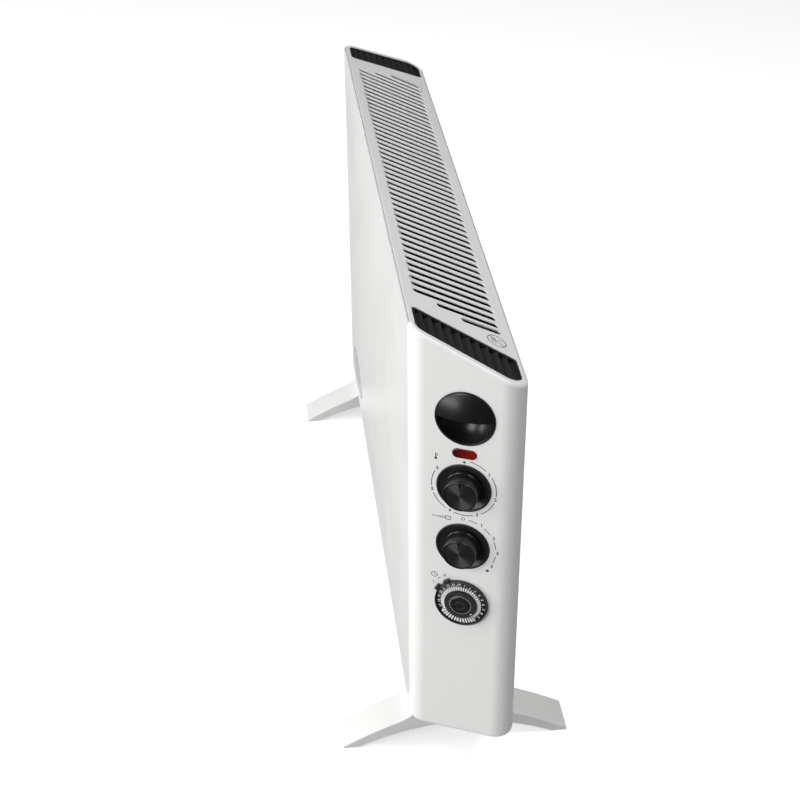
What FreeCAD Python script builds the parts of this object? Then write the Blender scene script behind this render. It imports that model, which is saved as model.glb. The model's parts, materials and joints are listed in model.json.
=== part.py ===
import FreeCAD, Part
import math
import os

# Free-standing fan convector heater. Millimetres, +Z up. The origin is on the floor at the
# centre of the footprint, -Y is the front, and the control end is at +X.

V = FreeCAD.Vector
os.makedirs("parts", exist_ok=True)

# ---- casing ----
body_depth = 88.0          # front face to rear face
front_half = 307.7         # half length of the front face, to its sharp corner
splay = 24.0               # degrees that each end face turns from square, longer at the rear
body_bottom = 49.0         # underside above the floor
front_top = 450.8          # sharp top edge of the front face
roof_slope = 25.75         # degrees that the roof falls towards the rear
front_corner_r = 18.0      # upright corner, front
rear_corner_r = 15.0       # upright corner, rear
cap_edge_r = 2.8           # end caps' edge round the roof
grille_edge_r = 1.0        # roof moulding's front and rear edges
base_edge_r = 5.0          # edge round the underside
sheet = 1.0                # steel panels
moulding = 2.5             # plastic walls
gap = 0.3                  # between neighbouring pieces
roof_skirt = 6.0           # height of the roof moulding's rim
flange = 14.0              # panels' turned-in bottom edge, from the outer face
lip_reach = 20.0           # end cap's lip behind the panels
side_screw_in = 14.0       # screws through the lip, from the seam
lip = 2.0                  # lip thickness
tray_rim = 12.0            # base tray's upstand

# ---- roof grille ----
slot_pitch = 11.13
slot_width = 6.3
slot_front_margin = 11.2   # front face to the slots' front ends, level
slot_rear_margin = 10.4    # rear face to the slots' rear ends, level
end_slot_starts = (0.262, 0.529)   # where the two shortened slots at each end begin, as shares
bar_depth = 1.3            # grille bars, square to the roof
bar_relief = 2.0           # thinned area beyond the slots' ends, level

# ---- corner vents in the roof ----
vent_front_margin = 6.0    # front face to the vent, level
vent_rear_margin = 4.6     # rear face to the vent, level
vent_front_width = 33.4    # along X, at the vent's front edge
vent_rear_width = 39.1     # along X, at the vent's rear edge
vent_margin = 7.2          # outer edge to the end face, square to it
vent_to_slots = 20.0       # inner front corner to the full slots, at least
vent_outer_r = 9.6
vent_inner_r = 2.8
vent_wall = 1.6
vent_depth = 11.0
vent_sink = 0.3
vent_blades = 11
vent_blade = 1.1
vent_blade_width = 7.6
vent_blade_drop = 3.2      # blades' middle below the frame's top
vent_blade_tilt = 38.0     # degrees between a blade and the roof

# ---- end face: what it carries, as drops below the sharp top front edge ----
face_depth = 40.6          # from the front face to the column of controls
grip_drop = 72.6
pilot_drop = 105.1
thermostat_drop = 137.6
selector_drop = 195.3
timer_drop = 253.4
bezel_step = 0.9           # thickness of a rim that stands on the face

# ---- hand grip ----
grip_r = 24.2
grip_rim_lap = 1.0         # rim's overlap on the face round its hole
grip_bowl_depth = 15.0
grip_wall = 0.8
hood_height = 5.0
hood_wall = 1.8
hood_margin = 0.9          # hood's edge to the rim's outer edge
hood_edge = 0.2            # hood's lower edge above the grip's middle

# ---- pilot lamp ----
lens_length = 19.7
lens_height = 8.4
lens_proud = 0.9
lens_gap = 0.2
lens_back = 4.0
lamp_r = 2.6
lamp_length = 12.0

# ---- rotary controls ----
dish_r = 22.45
dish_rim_lap = 1.15        # rim's overlap on the face round its hole
dish_wall = 0.4
dish_bowl_depth = 4.5
dish_floor = 6.5           # depth of the dish's back below the face
rim_round = 0.5
knob_base_r = 15.2
knob_neck_r = 14.3         # above the flared foot
knob_top_r = 13.6
knob_proud = 12.8
knob_foot = 0.9            # height of the flared foot's edge
knob_neck = 2.8            # height at which the foot has run into the side
knob_edge = 0.5
knob_lip = 1.2             # raised rim round the knob's face
knob_face_sink = 0.6
knob_lift = 0.5            # knob's back clear of the dish
pointer_length = 8.0
pointer_width = 2.2
pointer_sink = 0.7
shaft_r = 3.0
bore_clearance = 0.05
shaft_depth = 22.0         # shaft's inner end below the face
shaft_cover = 4.0          # knob's face above the shaft's outer end
neck_r = 5.0               # threaded neck of a control, in the dish's hole
terminal = (6.3, 0.8, 8.0) # push-on terminals: width, thickness, length
thermostat_case = (34.0, 34.0, 20.0)
selector_case = (38.0, 32.0, 26.0)

# ---- timer ----
timer_ring_wall = 1.0
timer_ring_gap = 0.4       # ring to the dial's edge
timer_ring_proud = 3.5
timer_ring_floor = 3.9     # width of the ring's floor under the dial
lug_reach = 3.0
lug_width = 5.2
lug_angle = 135.0          # degrees from the rear, anticlockwise seen from outside
lug_spread = 13.0
dial_r = 20.9
dial_top = 1.2
dial_back = 1.0
dial_bore_r = 3.05
dial_rim = 0.5
centre_lap = 3.6           # centre cap over the tappets' inner ends
centre_gap = 0.25
centre_thick = 1.6
crown_margin = 4.4         # flat rim round the centre cap's raised middle
crown_step = 1.0
tappets = 48
tappet_edge = 0.2          # a tappet that is out, to the dial's rim
tappet_neck = 4.0
tappet_head = 2.9
tappet_neck_width = 0.8
tappet_head_width = 1.25
tappet_height = 1.5
tappet_travel = 3.1
set_from = 214.0           # the tappets that are out lie between these two angles
set_to = 310.0
loose_tappets = (10, 12, 14, 16)
timer_case_margin = 1.2    # movement's case beyond the ring
timer_case_depth = 26.0

# ---- feet ----
foot_inset = 20.5          # front face's end to the foot's outer side, along X
foot_width = 35.5
foot_reach = 59.0          # foot's tip beyond the casing's face
foot_tip = 2.8             # height of the tip's upper edge
foot_shoulder_out = 6.0    # shoulder beyond the casing's face
foot_shoulder_z = 28.4
foot_top_out = 34.0        # a point on the top between the shoulder and the tip
foot_top_z = 16.1
foot_neck_in = 6.0         # neck inside the casing's face
arch_top = 21.8
arch_mid_out = 11.0        # a point on the underside
arch_mid_z = 13.6
foot_wall = 3.0
pad_height = 0.8
pad_length = 14.5
pad_recess = 0.6
foot_screw_y = 16.0
boss_r = 5.5
screw_r = 1.9
screw_shank_clear = 0.15
screw_head_r = 3.8
screw_head = 2.4
screw_slot = 0.9
screw_slot_half = 2.6

# ---- heating chamber ----
bulkhead_inset = 61.7      # front face's end to the bulkhead
bulkhead_clear = 1.6       # bulkhead's edge to the panels
bulkhead_foot = 10.0
chamber_drop = 14.0        # bulkheads' top edge below the roof
rod_r = 4.25
rod_rise = (147.0, 197.0)  # rods above the casing's underside
rod_y = 2.0
rod_over = 18.0            # rod ends beyond the bulkheads
fin_depth = 52.0
fin_height = 38.0
fin = 0.6
fin_pitch = 12.0
bush_r = 8.0
bush_length = 6.0
wire_hole_r = 6.0
baffle_margin = 10.0       # reflector to the casing's face
baffle_below = 36.0        # reflectors' lower edge under the low rod
baffle_drop = 24.0         # reflectors' upper edge below the roof
baffle_tab = 12.0

# ---- fan ----
fan_rise = 51.0            # fan's axis above the casing's underside
fan_y = 2.0
fan_r = 24.0
fan_from_bulkhead = 136.0  # plain end's bulkhead to the wheel
fan_length = 180.0
fan_blades = 22
fan_blade = 0.8
fan_blade_depth = 8.0
fan_disc = 1.5
fan_shaft_r = 2.5
fan_hub_r = 6.0
fan_stub = 16.0
bearing_r = 7.0
bearing_length = 8.0
motor_gap = 12.0
stator_length = 18.0
stator_width = 58.0
stator_height = 60.0
core_below = 22.0          # motor's iron core below the fan's axis
core_leg = 12.0
tunnel_r = 9.0             # hole for the rotor
air_gap = 0.4
scroll_gap = 4.0
scroll_wall = 1.0
throat_gap = 20.0          # scroll's top to the reflectors

# ---- wiring ----
gland_from_bulkhead = 16.0
gland_rise = 35.0          # cord gland above the casing's underside
gland_bore_r = 3.6
gland_r = 7.0
gland_flange_r = 10.0
gland_out = 12.0
gland_in = 10.0
block_size = (26.0, 20.0, 14.0)
block_y = -4.0
lead_pitch = 6.0
lead_y = -16.0
wire_r = 1.3
cutout_r = 8.0
cutout_x = -150.0
cutout_rise = 42.0         # cut-out above the high rod

# ---- front badge and rear inlet ----
badge_inset = 100.7        # front face's end to the badge's centre
badge_rise = 45.0          # badge's centre above the casing's underside
badge_length = 98.0
badge_height = 38.0
badge_thick = 0.8
inlet_slots = 30
inlet_pitch = 11.0
inlet_width = 4.0
inlet_length = 34.0
inlet_rise = 25.0          # lowest inlets above the casing's underside
tray_slot_pitch = 12.5
tray_slot_width = 5.0
tray_slot_length = 44.0
side_screw_low = 41.0      # lowest side screw above the casing's underside
side_screw_high = 28.4     # highest side screw below the rear face's top

tan_splay = math.tan(math.radians(splay))
cos_splay = math.cos(math.radians(splay))
sin_splay = math.sin(math.radians(splay))
tan_roof = math.tan(math.radians(roof_slope))
cos_roof = math.cos(math.radians(roof_slope))
front_y = -body_depth / 2
rear_y = body_depth / 2
far = 600.0                # beyond every piece


def end_x(y, inset=0.0):
    """x of the +X end face at depth y."""
    return front_half + (y - front_y) * tan_splay - inset / cos_splay


def roof_z(y, drop=0.0):
    """Height of the roof at depth y, lowered by a distance square to it."""
    return front_top - (y - front_y) * tan_roof - drop / cos_roof


# ---- positions that follow from the sizes above ----
slot_front = front_y + slot_front_margin
slot_rear = rear_y - slot_rear_margin
vent_front = front_y + vent_front_margin
vent_rear = rear_y - vent_rear_margin
vent_inner_front = end_x(vent_front, vent_margin) - vent_front_width
vent_inner_rear = end_x(vent_rear, vent_margin) - vent_rear_width
full_slots = 2 * int((vent_inner_front - vent_to_slots) / slot_pitch)
grip_z = front_top - grip_drop
pilot_z = front_top - pilot_drop
thermostat_z = front_top - thermostat_drop
selector_z = front_top - selector_drop
timer_z = front_top - timer_drop
floor_z = body_bottom + 2 * sheet + gap      # top of the base tray
grip_hole_r = grip_r - grip_rim_lap
grip_bowl_r = grip_hole_r - gap - grip_wall
dish_hole_r = dish_r - dish_rim_lap
dish_bowl_r = dish_hole_r - gap - dish_wall
dish_sphere_r = (dish_bowl_r ** 2 + dish_bowl_depth ** 2) / (2 * dish_bowl_depth)
knob_back = (math.sqrt(dish_sphere_r ** 2 - knob_base_r ** 2) - dish_sphere_r + dish_bowl_depth
             - knob_lift)              # depth of the knob's back below the face
timer_ring_r = dial_r + timer_ring_gap + timer_ring_wall
timer_hole_r = timer_ring_r + gap
timer_ring_back = moulding - gap             # ring's back below the face
timer_floor_r = dial_r - timer_ring_floor
tappet_in = dial_r - dial_rim - tappet_edge - tappet_travel - tappet_head - tappet_neck
centre_r = tappet_in + centre_lap
crown_r = centre_r - crown_margin
timer_case_size = 2 * (timer_ring_r + timer_case_margin)
foot_outer = front_half - foot_inset
foot_mid = foot_outer - foot_width / 2
foot_half = rear_y + foot_reach
foot_neck_y = rear_y - foot_neck_in
bulkhead_x = front_half - bulkhead_inset
rod_heights = [body_bottom + rise for rise in rod_rise]
baffle_y = rear_y - baffle_margin
baffle_low = rod_heights[0] - baffle_below
fan_z = body_bottom + fan_rise
fan_from = -bulkhead_x + fan_from_bulkhead
fan_to = fan_from + fan_length
gland_x = bulkhead_x + gland_from_bulkhead
gland_z = body_bottom + gland_rise
badge_x = -front_half + badge_inset
badge_z = body_bottom + badge_rise
inlet_low = body_bottom + inlet_rise
tray_slots = 2 * int((bulkhead_x - 30) / tray_slot_pitch)
screw_z = [body_bottom + side_screw_low, roof_z(rear_y) - side_screw_high]
side_screw_heights = [screw_z[0], sum(screw_z) / 2, screw_z[1]]

# Seam of the end cap: a line in plan through the starts of the two rounded corners.
seam_front = front_half - front_corner_r * math.tan(math.radians((90 - splay) / 2))
seam_rear = end_x(rear_y) - rear_corner_r * math.tan(math.radians((90 + splay) / 2))


def seam_x(y, shift=0.0):
    return seam_front + (y - front_y) * (seam_rear - seam_front) / body_depth + shift


def box(x0, x1, y0, y1, z0, z1):
    return Part.makeBox(x1 - x0, y1 - y0, z1 - z0, V(x0, y0, z0))


def prism(points, z0, z1):
    """Upright prism on a plan polygon."""
    wire = Part.makePolygon([V(x, y, z0) for x, y in points + points[:1]])
    return Part.Face(wire).extrude(V(0, 0, z1 - z0))


def side_prism(points, x0, x1):
    """Prism along X on a (y, z) polygon."""
    wire = Part.makePolygon([V(x0, y, z) for y, z in points + points[:1]])
    return Part.Face(wire).extrude(V(x1 - x0, 0, 0))


def cylinder(radius, start, end):
    axis = V(*end) - V(*start)
    return Part.makeCylinder(radius, axis.Length, V(*start), axis)


def disc(radius, z0, z1, x=0.0, y=0.0):
    return Part.makeCylinder(radius, z1 - z0, V(x, y, z0))


def ring(outer, inner, z0, z1):
    return disc(outer, z0, z1).cut(disc(inner, z0 - 1, z1 + 1))


def mirror(shape):
    """The same piece at the -X end."""
    return shape.mirror(V(0, 0, 0), V(1, 0, 0))


def above_roof(drop):
    """Everything above the roof plane lowered by drop."""
    points = [(-far, roof_z(-far, drop)), (far, roof_z(far, drop)), (far, 2 * far), (-far, 2 * far)]
    return side_prism(points, -far, far)


def beyond_seam(shift):
    """Everything past the +X cap seam, moved along X by shift."""
    points = [(seam_x(-far, shift), -far), (2 * far, -far), (2 * far, far), (seam_x(far, shift), far)]
    return prism(points, -far, 2 * far)


def between_seams(shift):
    """Everything between the two cap seams, each moved along X by shift."""
    points = [(seam_x(-far / 2, shift), -far / 2), (seam_x(far / 2, shift), far / 2)]
    points += [(-x, y) for x, y in reversed(points)]
    return prism(points, -far, 2 * far)


def upright_edges(shape, test):
    """Vertical edges whose position passes the test."""
    edges = []
    for edge in shape.Edges:
        ends = [v.Point for v in edge.Vertexes]
        if len(ends) == 2 and (ends[0] - ends[1]).cross(V(0, 0, 1)).Length < 1e-6 and test(ends[0]):
            edges.append(edge)
    return edges


def edges_on(shape, test):
    """Edges whose ends and middle all pass the test."""
    chosen = []
    for edge in shape.Edges:
        first, last = edge.FirstParameter, edge.LastParameter
        if all(test(edge.valueAt(p)) for p in (first, (first + last) / 2, last)):
            chosen.append(edge)
    return chosen


def block(inset, roof_inset, roof_r):
    """The casing's solid form, moved in by inset at the sides and roof_inset at the roof."""
    y0, y1 = front_y + inset, rear_y - inset
    plan = [(-end_x(y0, inset), y0), (end_x(y0, inset), y0), (end_x(y1, inset), y1), (-end_x(y1, inset), y1)]
    low = body_bottom + inset
    solid = prism(plan, low, front_top + 60)
    solid = solid.makeFillet(front_corner_r - inset, upright_edges(solid, lambda p: p.y < 0))
    solid = solid.makeFillet(rear_corner_r - inset, upright_edges(solid, lambda p: p.y > 0))
    if base_edge_r > inset:
        solid = solid.makeFillet(base_edge_r - inset, edges_on(solid, lambda p: abs(p.z - low) < 1e-4))
    solid = solid.cut(above_roof(roof_inset))
    if roof_r > 0:
        on_roof = edges_on(solid, lambda p: abs(p.z - roof_z(p.y, roof_inset)) < 1e-4)
        solid = solid.makeFillet(roof_r, on_roof)
    return solid


open_top = -30.0           # roof inset of a form that has no lid
cap_form = block(0.0, 0.0, cap_edge_r)
cap_inner_form = block(moulding, moulding, cap_edge_r - moulding)
panel_form = block(0.0, gap, 0.0)
panel_inner_form = block(sheet, open_top, 0.0)
grille_form = block(sheet + gap, 0.0, grille_edge_r)
grille_inner_form = block(sheet + gap + moulding, moulding, 0.0)
lip_form = block(sheet + gap, moulding + gap, 0.0)
lip_inner_form = block(sheet + gap + lip, open_top, 0.0)
tray_inner_form = block(sheet + gap + sheet, open_top, 0.0)


# ---- corner vents: one outline, used for the opening and for the insert ----
def vent_outline(grow):
    """Plan prism of the corner vent at +X, grown sideways by grow."""
    inner_lean = (vent_inner_rear - vent_inner_front) / (vent_rear - vent_front)

    def inner_x(y):
        return vent_inner_front + (y - vent_front) * inner_lean - grow * math.hypot(1, inner_lean)

    low, high = vent_front - grow, vent_rear + grow
    points = [(inner_x(low), low), (end_x(low, vent_margin - grow), low),
              (end_x(high, vent_margin - grow), high), (inner_x(high), high)]
    solid = prism(points, roof_z(rear_y) - 60, front_top + 60)
    outer = upright_edges(solid, lambda p: p.x > end_x(p.y, vent_margin - grow) - 1)
    solid = solid.makeFillet(vent_outer_r + grow, outer)
    return solid.makeFillet(vent_inner_r + grow, upright_edges(solid, lambda p: p.x < inner_x(p.y) + 0.01))


vent_opening = vent_outline(gap)


def make_vent_insert():
    outer = vent_outline(0.0)
    inner = vent_outline(-vent_wall)
    top = above_roof(vent_sink)
    bottom = above_roof(vent_sink + vent_depth)
    frame = outer.cut(inner).cut(top).common(bottom)
    blades = []
    pitch = (vent_rear - vent_front) / vent_blades
    for i in range(vent_blades):
        y = vent_front + (i + 0.5) * pitch
        blade = box(0, far, -vent_blade_width / 2, vent_blade_width / 2, -vent_blade, 0)
        blade.rotate(V(0, 0, 0), V(1, 0, 0), vent_blade_tilt - roof_slope)
        blade.translate(V(0, y, roof_z(y, vent_sink + vent_blade_drop)))
        blades.append(blade)
    reach = vent_outline(-vent_wall / 2)
    blades = Part.Compound(blades).common(reach).cut(above_roof(vent_sink + 0.4))
    return frame.fuse(blades.Solids)


# ---- panels ----
side_screw_x = seam_x(rear_y, -side_screw_in)


def side_screw_holes(radius):
    """Cutters for the screws through the rear face into the end caps' lips."""
    return [cylinder(radius, (side * side_screw_x, rear_y - 12, z), (side * side_screw_x, rear_y + 3, z))
            for side in (-1, 1) for z in side_screw_heights]


panel_shell = panel_form.cut(panel_inner_form).common(between_seams(-gap))


def make_front_panel():
    return panel_shell.common(box(-far, far, -far, front_y + flange, -far, far))


def make_rear_panel():
    panel = panel_shell.common(box(-far, far, rear_y - flange, far, -far, far))
    cuts = side_screw_holes(screw_r + gap)
    for row in (0, 1):
        low = inlet_low + row * (inlet_length + inlet_width * 2)
        for i in range(inlet_slots):
            x = (i - (inlet_slots - 1) / 2) * inlet_pitch
            cuts.append(box(x - inlet_width / 2, x + inlet_width / 2, rear_y - 3, rear_y + 3,
                            low, low + inlet_length))
            for z in (low, low + inlet_length):
                cuts.append(cylinder(inlet_width / 2, (x, rear_y - 3, z), (x, rear_y + 3, z)))
    cuts.append(cylinder(gland_r + gap, (gland_x, rear_y - 3, gland_z), (gland_x, rear_y + 3, gland_z)))
    return panel.cut(Part.Compound(cuts))


def roof_slots(depth):
    """Cutters for the grille slots, with rounded ends, square to the roof."""
    cuts = []
    slots = [((i - (full_slots - 1) / 2) * slot_pitch, slot_front) for i in range(full_slots)]
    for step, share in enumerate(end_slot_starts):
        x = (full_slots / 2 + step + 0.5) * slot_pitch
        start = slot_front + share * (slot_rear - slot_front)
        slots += [(x, start), (-x, start)]
    r = slot_width / 2
    for x, start in slots:
        length = (slot_rear - start) / cos_roof
        cutter = box(x - r, x + r, r, length - r, -depth, depth)
        cutter = cutter.fuse([disc(r, -depth, depth, x, r), disc(r, -depth, depth, x, length - r)])
        cutter.rotate(V(0, 0, 0), V(1, 0, 0), -roof_slope)
        cutter.translate(V(0, start, roof_z(start)))
        cuts.append(cutter)
    return Part.Compound(cuts)


def make_roof_grille():
    rim = grille_form.cut(grille_inner_form).common(above_roof(roof_skirt)).common(between_seams(-gap))
    reach = (full_slots / 2 + 2.5) * slot_pitch
    relief = box(-reach, reach, slot_front - bar_relief, slot_rear + bar_relief, 0, far)
    roof = rim.cut(relief.cut(above_roof(bar_depth))).cut(roof_slots(2 * moulding))
    return roof.cut(vent_opening).cut(mirror(vent_opening)).removeSplitter()


def end_cap_shell():
    wall = cap_form.cut(cap_inner_form).common(beyond_seam(0.0))
    band = beyond_seam(-lip_reach).cut(beyond_seam(1.0))
    skirt = lip_form.cut(lip_inner_form).common(band).cut(above_roof(roof_skirt + gap))
    shell = wall.fuse(skirt)
    return shell.cut(vent_opening).cut(Part.Compound(side_screw_holes(screw_r))).removeSplitter()


def make_base_tray():
    shell = lip_form.cut(tray_inner_form).common(between_seams(-lip_reach - gap))
    shell = shell.common(box(-far, far, -far, far, 0, body_bottom + sheet + gap + tray_rim))
    cuts = []
    for i in range(tray_slots):
        x = (i - (tray_slots - 1) / 2) * tray_slot_pitch
        cuts.append(box(x - tray_slot_width / 2, x + tray_slot_width / 2, -tray_slot_length / 2,
                        tray_slot_length / 2, body_bottom, body_bottom + 5))
    for x in (-foot_mid, foot_mid):
        for y in (-foot_screw_y, foot_screw_y):
            cuts.append(disc(screw_r, body_bottom, body_bottom + 6, x, y))
    return shell.cut(Part.Compound(cuts))


# ---- pieces of the end face, drawn about a local origin: x to the rear, y up, z outwards ----
face_y = front_y + face_depth
face_x = end_x(face_y)


def on_face(shape, z):
    """Place a locally drawn piece on the +X end face at height z."""
    rotation = FreeCAD.Rotation(V(sin_splay, cos_splay, 0), V(0, 0, 1), V(cos_splay, -sin_splay, 0), "ZXY")
    placed = shape.copy()
    placed.Placement = FreeCAD.Placement(V(face_x, face_y, z), rotation).multiply(placed.Placement)
    return placed


def lens_form(length, height, z0, z1):
    r = height / 2
    reach = length / 2 - r
    form = box(-reach, reach, -r, r, z0, z1)
    return form.fuse([disc(r, z0, z1, -reach), disc(r, z0, z1, reach)]).removeSplitter()


def revolve(points):
    """Solid of revolution about local z from (radius, z) points, straight between them."""
    wire = Part.makePolygon([V(r, 0, z) for r, z in points + points[:1]])
    return Part.Face(wire).revolve(V(0, 0, 0), V(0, 0, 1), 360)


def bowl(radius, depth):
    """Spherical hollow below the face, radius wide at the face."""
    sphere_r = (radius ** 2 + depth ** 2) / (2 * depth)
    return Part.makeSphere(sphere_r, V(0, 0, sphere_r - depth))


def make_hand_grip():
    rim = disc(grip_r, 0, bezel_step)
    rim = rim.makeFillet(rim_round, edges_on(rim, lambda p: p.z > bezel_step - 1e-4))
    cup_r = grip_hole_r - gap
    cup = bowl(grip_bowl_r + grip_wall, grip_bowl_depth + grip_wall).common(disc(cup_r, -far, 0))
    collar = disc(cup_r, -moulding - 2, 0)
    hollow = bowl(grip_bowl_r, grip_bowl_depth).common(disc(far, -far, bezel_step + 1))
    body = rim.fuse([cup, collar]).cut(hollow)
    hood_reach = grip_r - hood_margin
    hood_r = (hood_reach ** 2 + hood_height ** 2) / (2 * hood_height)
    middle = V(0, 0, bezel_step + hood_height - hood_r)
    hood = Part.makeSphere(hood_r, middle).cut(Part.makeSphere(hood_r - hood_wall, middle))
    hood = hood.common(box(-far, far, 0, far, hood_edge, far)).common(disc(hood_reach, 0.1, far))
    return body.fuse(hood).removeSplitter()


def make_dish():
    rim = disc(dish_r, 0, bezel_step)
    rim = rim.makeFillet(rim_round, edges_on(rim, lambda p: p.z > bezel_step - 1e-4))
    body = rim.fuse(disc(dish_hole_r - gap, -dish_floor, 0)).removeSplitter()
    body = body.cut(bowl(dish_bowl_r, dish_bowl_depth)).cut(disc(dish_bowl_r, -0.01, bezel_step + 1))
    return body.cut(disc(neck_r + gap, -dish_floor - 1, 0))


def make_knob():
    flare = knob_base_r - knob_neck_r
    run = knob_neck - knob_foot
    knob = revolve([(0, -knob_back), (knob_base_r, -knob_back), (knob_base_r, knob_foot),
                    (knob_neck_r + flare * 0.35, knob_foot + run * 0.3), (knob_neck_r, knob_neck),
                    (knob_top_r, knob_proud - knob_edge), (knob_top_r - knob_edge, knob_proud),
                    (knob_top_r - knob_lip, knob_proud),
                    (knob_top_r - knob_lip - 0.3, knob_proud - knob_face_sink),
                    (0, knob_proud - knob_face_sink)])
    half = pointer_width / 2
    outline = [(-half, knob_top_r + 1), (-half, knob_top_r - 2), (0, knob_top_r - pointer_length),
               (half, knob_top_r - 2), (half, knob_top_r + 1)]
    notch = prism(outline, knob_proud - knob_face_sink - pointer_sink, knob_proud + 1)
    bore = disc(shaft_r, -knob_back - 1, knob_proud - shaft_cover)
    return knob.cut(notch).cut(bore)


def make_shaft():
    return disc(shaft_r, -shaft_depth, knob_proud - shaft_cover)


def make_control(case):
    """Switch or thermostat body with the threaded neck that its shaft turns in."""
    width, height, depth = case
    back = -dish_floor - depth
    body = box(-width / 2, width / 2, -height / 2, height / 2, back, -dish_floor)
    body = body.makeFillet(2.0, edges_on(body, lambda p: p.z < back + 1e-4))
    neck = disc(neck_r, -dish_floor, -knob_back - 1.0)
    tab_width, tab_thick, tab_length = terminal
    tabs = [box(x - tab_width / 2, x + tab_width / 2, height / 2 - 8, height / 2 - 8 + tab_thick,
                back - tab_length, back) for x in (-width / 4, width / 4)]
    return body.fuse([neck] + tabs).cut(disc(shaft_r + bore_clearance, -shaft_depth - gap, 0))


def make_timer_ring():
    body = ring(timer_ring_r, timer_ring_r - timer_ring_wall, -timer_ring_back, timer_ring_proud)
    floor = ring(timer_ring_r, timer_floor_r, -timer_ring_back, -dial_back - gap)
    lugs = []
    for turn in (-lug_spread, lug_spread):
        lug = box(timer_ring_r - 0.5, timer_ring_r + lug_reach, -lug_width / 2, lug_width / 2,
                  gap, timer_ring_proud)
        lug = lug.makeFillet(0.8, upright_edges(lug, lambda p: p.x > timer_ring_r + 1))
        lug.rotate(V(0, 0, 0), V(0, 0, 1), lug_angle + turn)
        lugs.append(lug)
    body = body.fuse([floor] + lugs).removeSplitter()
    notch = box(timer_ring_r - 0.5, timer_ring_r + 1, -1.0, 1.0, timer_ring_proud - 1.0, timer_ring_proud + 1)
    notch.rotate(V(0, 0, 0), V(0, 0, 1), lug_angle)
    return body.cut(notch)


def make_dial():
    plate = disc(dial_r, -dial_back, dial_top)
    rim = ring(dial_r, dial_r - dial_rim, dial_top, dial_top + 0.3)
    return plate.fuse(rim).removeSplitter().cut(disc(dial_bore_r, -5, 5))


def make_timer_centre():
    low = dial_top + tappet_height + centre_gap
    cap = disc(centre_r, low, low + centre_thick)
    cap = cap.makeFillet(rim_round, edges_on(cap, lambda p: p.z > low + centre_thick - 1e-4))
    boss = disc(dial_bore_r - bore_clearance, -moulding - gap, low)
    top = low + centre_thick
    crown = revolve([(0, top), (crown_r, top), (crown_r - 0.6, top + crown_step),
                     (0, top + crown_step + 0.4)])
    return cap.fuse([boss, crown]).removeSplitter()


def is_set(index):
    return set_from <= 360.0 * index / tappets <= set_to


def make_tappet(index, lift=0.0):
    """One tappet on the dial, pushed out where it is set, with its underside raised by lift."""
    out = tappet_travel if is_set(index) else 0.0
    start = tappet_in + out
    neck = box(start, start + tappet_neck + 0.1, -tappet_neck_width / 2, tappet_neck_width / 2,
               dial_top + lift, dial_top + tappet_height)
    head = box(start + tappet_neck, start + tappet_neck + tappet_head, -tappet_head_width / 2,
               tappet_head_width / 2, dial_top + lift, dial_top + tappet_height)
    piece = neck.fuse(head).removeSplitter()
    piece.rotate(V(0, 0, 0), V(0, 0, 1), 360.0 * index / tappets)
    return piece


def make_timer_case():
    half, front = timer_case_size / 2, -moulding - gap
    back = front - timer_case_depth
    body = box(-half, half, -half, half, back, front)
    return body.makeFillet(2.5, edges_on(body, lambda p: p.z < back + 1e-4))


def face_hole(radius, z):
    return on_face(disc(radius, -6, 3), z)


def make_control_end_cap():
    holes = [face_hole(grip_hole_r, grip_z), face_hole(dish_hole_r, thermostat_z),
             face_hole(dish_hole_r, selector_z), face_hole(timer_hole_r, timer_z),
             on_face(lens_form(lens_length + 2 * lens_gap, lens_height + 2 * lens_gap, -6, 3), pilot_z)]
    return end_cap_shell().cut(Part.Compound(holes))


def make_plain_end_cap():
    return mirror(end_cap_shell().cut(face_hole(grip_hole_r, grip_z)))


# ---- feet ----
def make_foot():
    """Arched foot across the casing, hollow above the arch in the middle."""
    low = pad_height
    shoulder = V(0, rear_y + foot_shoulder_out, foot_shoulder_z)
    corners = [shoulder, V(0, foot_neck_y + 4, foot_shoulder_z + 5), V(0, foot_neck_y, body_bottom - 9),
               V(0, foot_neck_y, body_bottom), V(0, 0, body_bottom), V(0, 0, arch_top)]
    tip = [V(0, foot_half - pad_length, low), V(0, foot_half, low), V(0, foot_half, foot_tip)]
    top = Part.Arc(tip[2], V(0, rear_y + foot_top_out, foot_top_z), shoulder).toShape()
    under = Part.Arc(corners[-1], V(0, rear_y + arch_mid_out, arch_mid_z), tip[0]).toShape()
    edges = [top] + [Part.makeLine(a, b) for a, b in zip(corners, corners[1:])] + [under]
    edges += [Part.makeLine(a, b) for a, b in zip(tip, tip[1:])]
    face = Part.Face(Part.Wire(Part.__sortEdges__(edges)))
    half = face.extrude(V(foot_width, 0, 0))
    half.translate(V(foot_outer - foot_width, 0, 0))
    other = half.mirror(V(0, 0, 0), V(0, 1, 0))
    foot = half.fuse(other).removeSplitter()
    pocket = box(foot_outer - foot_width + foot_wall, foot_outer - foot_wall, -foot_neck_y + foot_wall,
                 foot_neck_y - foot_wall, 0, body_bottom - foot_wall)
    foot = foot.cut(pocket)
    places = (-foot_screw_y, foot_screw_y)
    foot = foot.fuse([disc(boss_r, arch_top - 1, body_bottom + sheet + gap, foot_mid, y) for y in places])
    cuts = [disc(screw_r + 0.2, 0, body_bottom + 5, foot_mid, y) for y in places]
    cuts += [pad_form(side, pad_recess + 0.2, 0.2) for side in (-1, 1)]
    return foot.cut(Part.Compound(cuts)).removeSplitter()


def pad_form(side, sunk, grow):
    """Rubber pad at one tip of the +X foot."""
    near, away = foot_half - pad_length + 1.5, foot_half - 2.5
    y0, y1 = sorted((side * (near - grow), side * (away + grow)))
    return box(foot_outer - foot_width + 4 - grow, foot_outer - 4 + grow, y0, y1, 0, pad_height + sunk)


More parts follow.
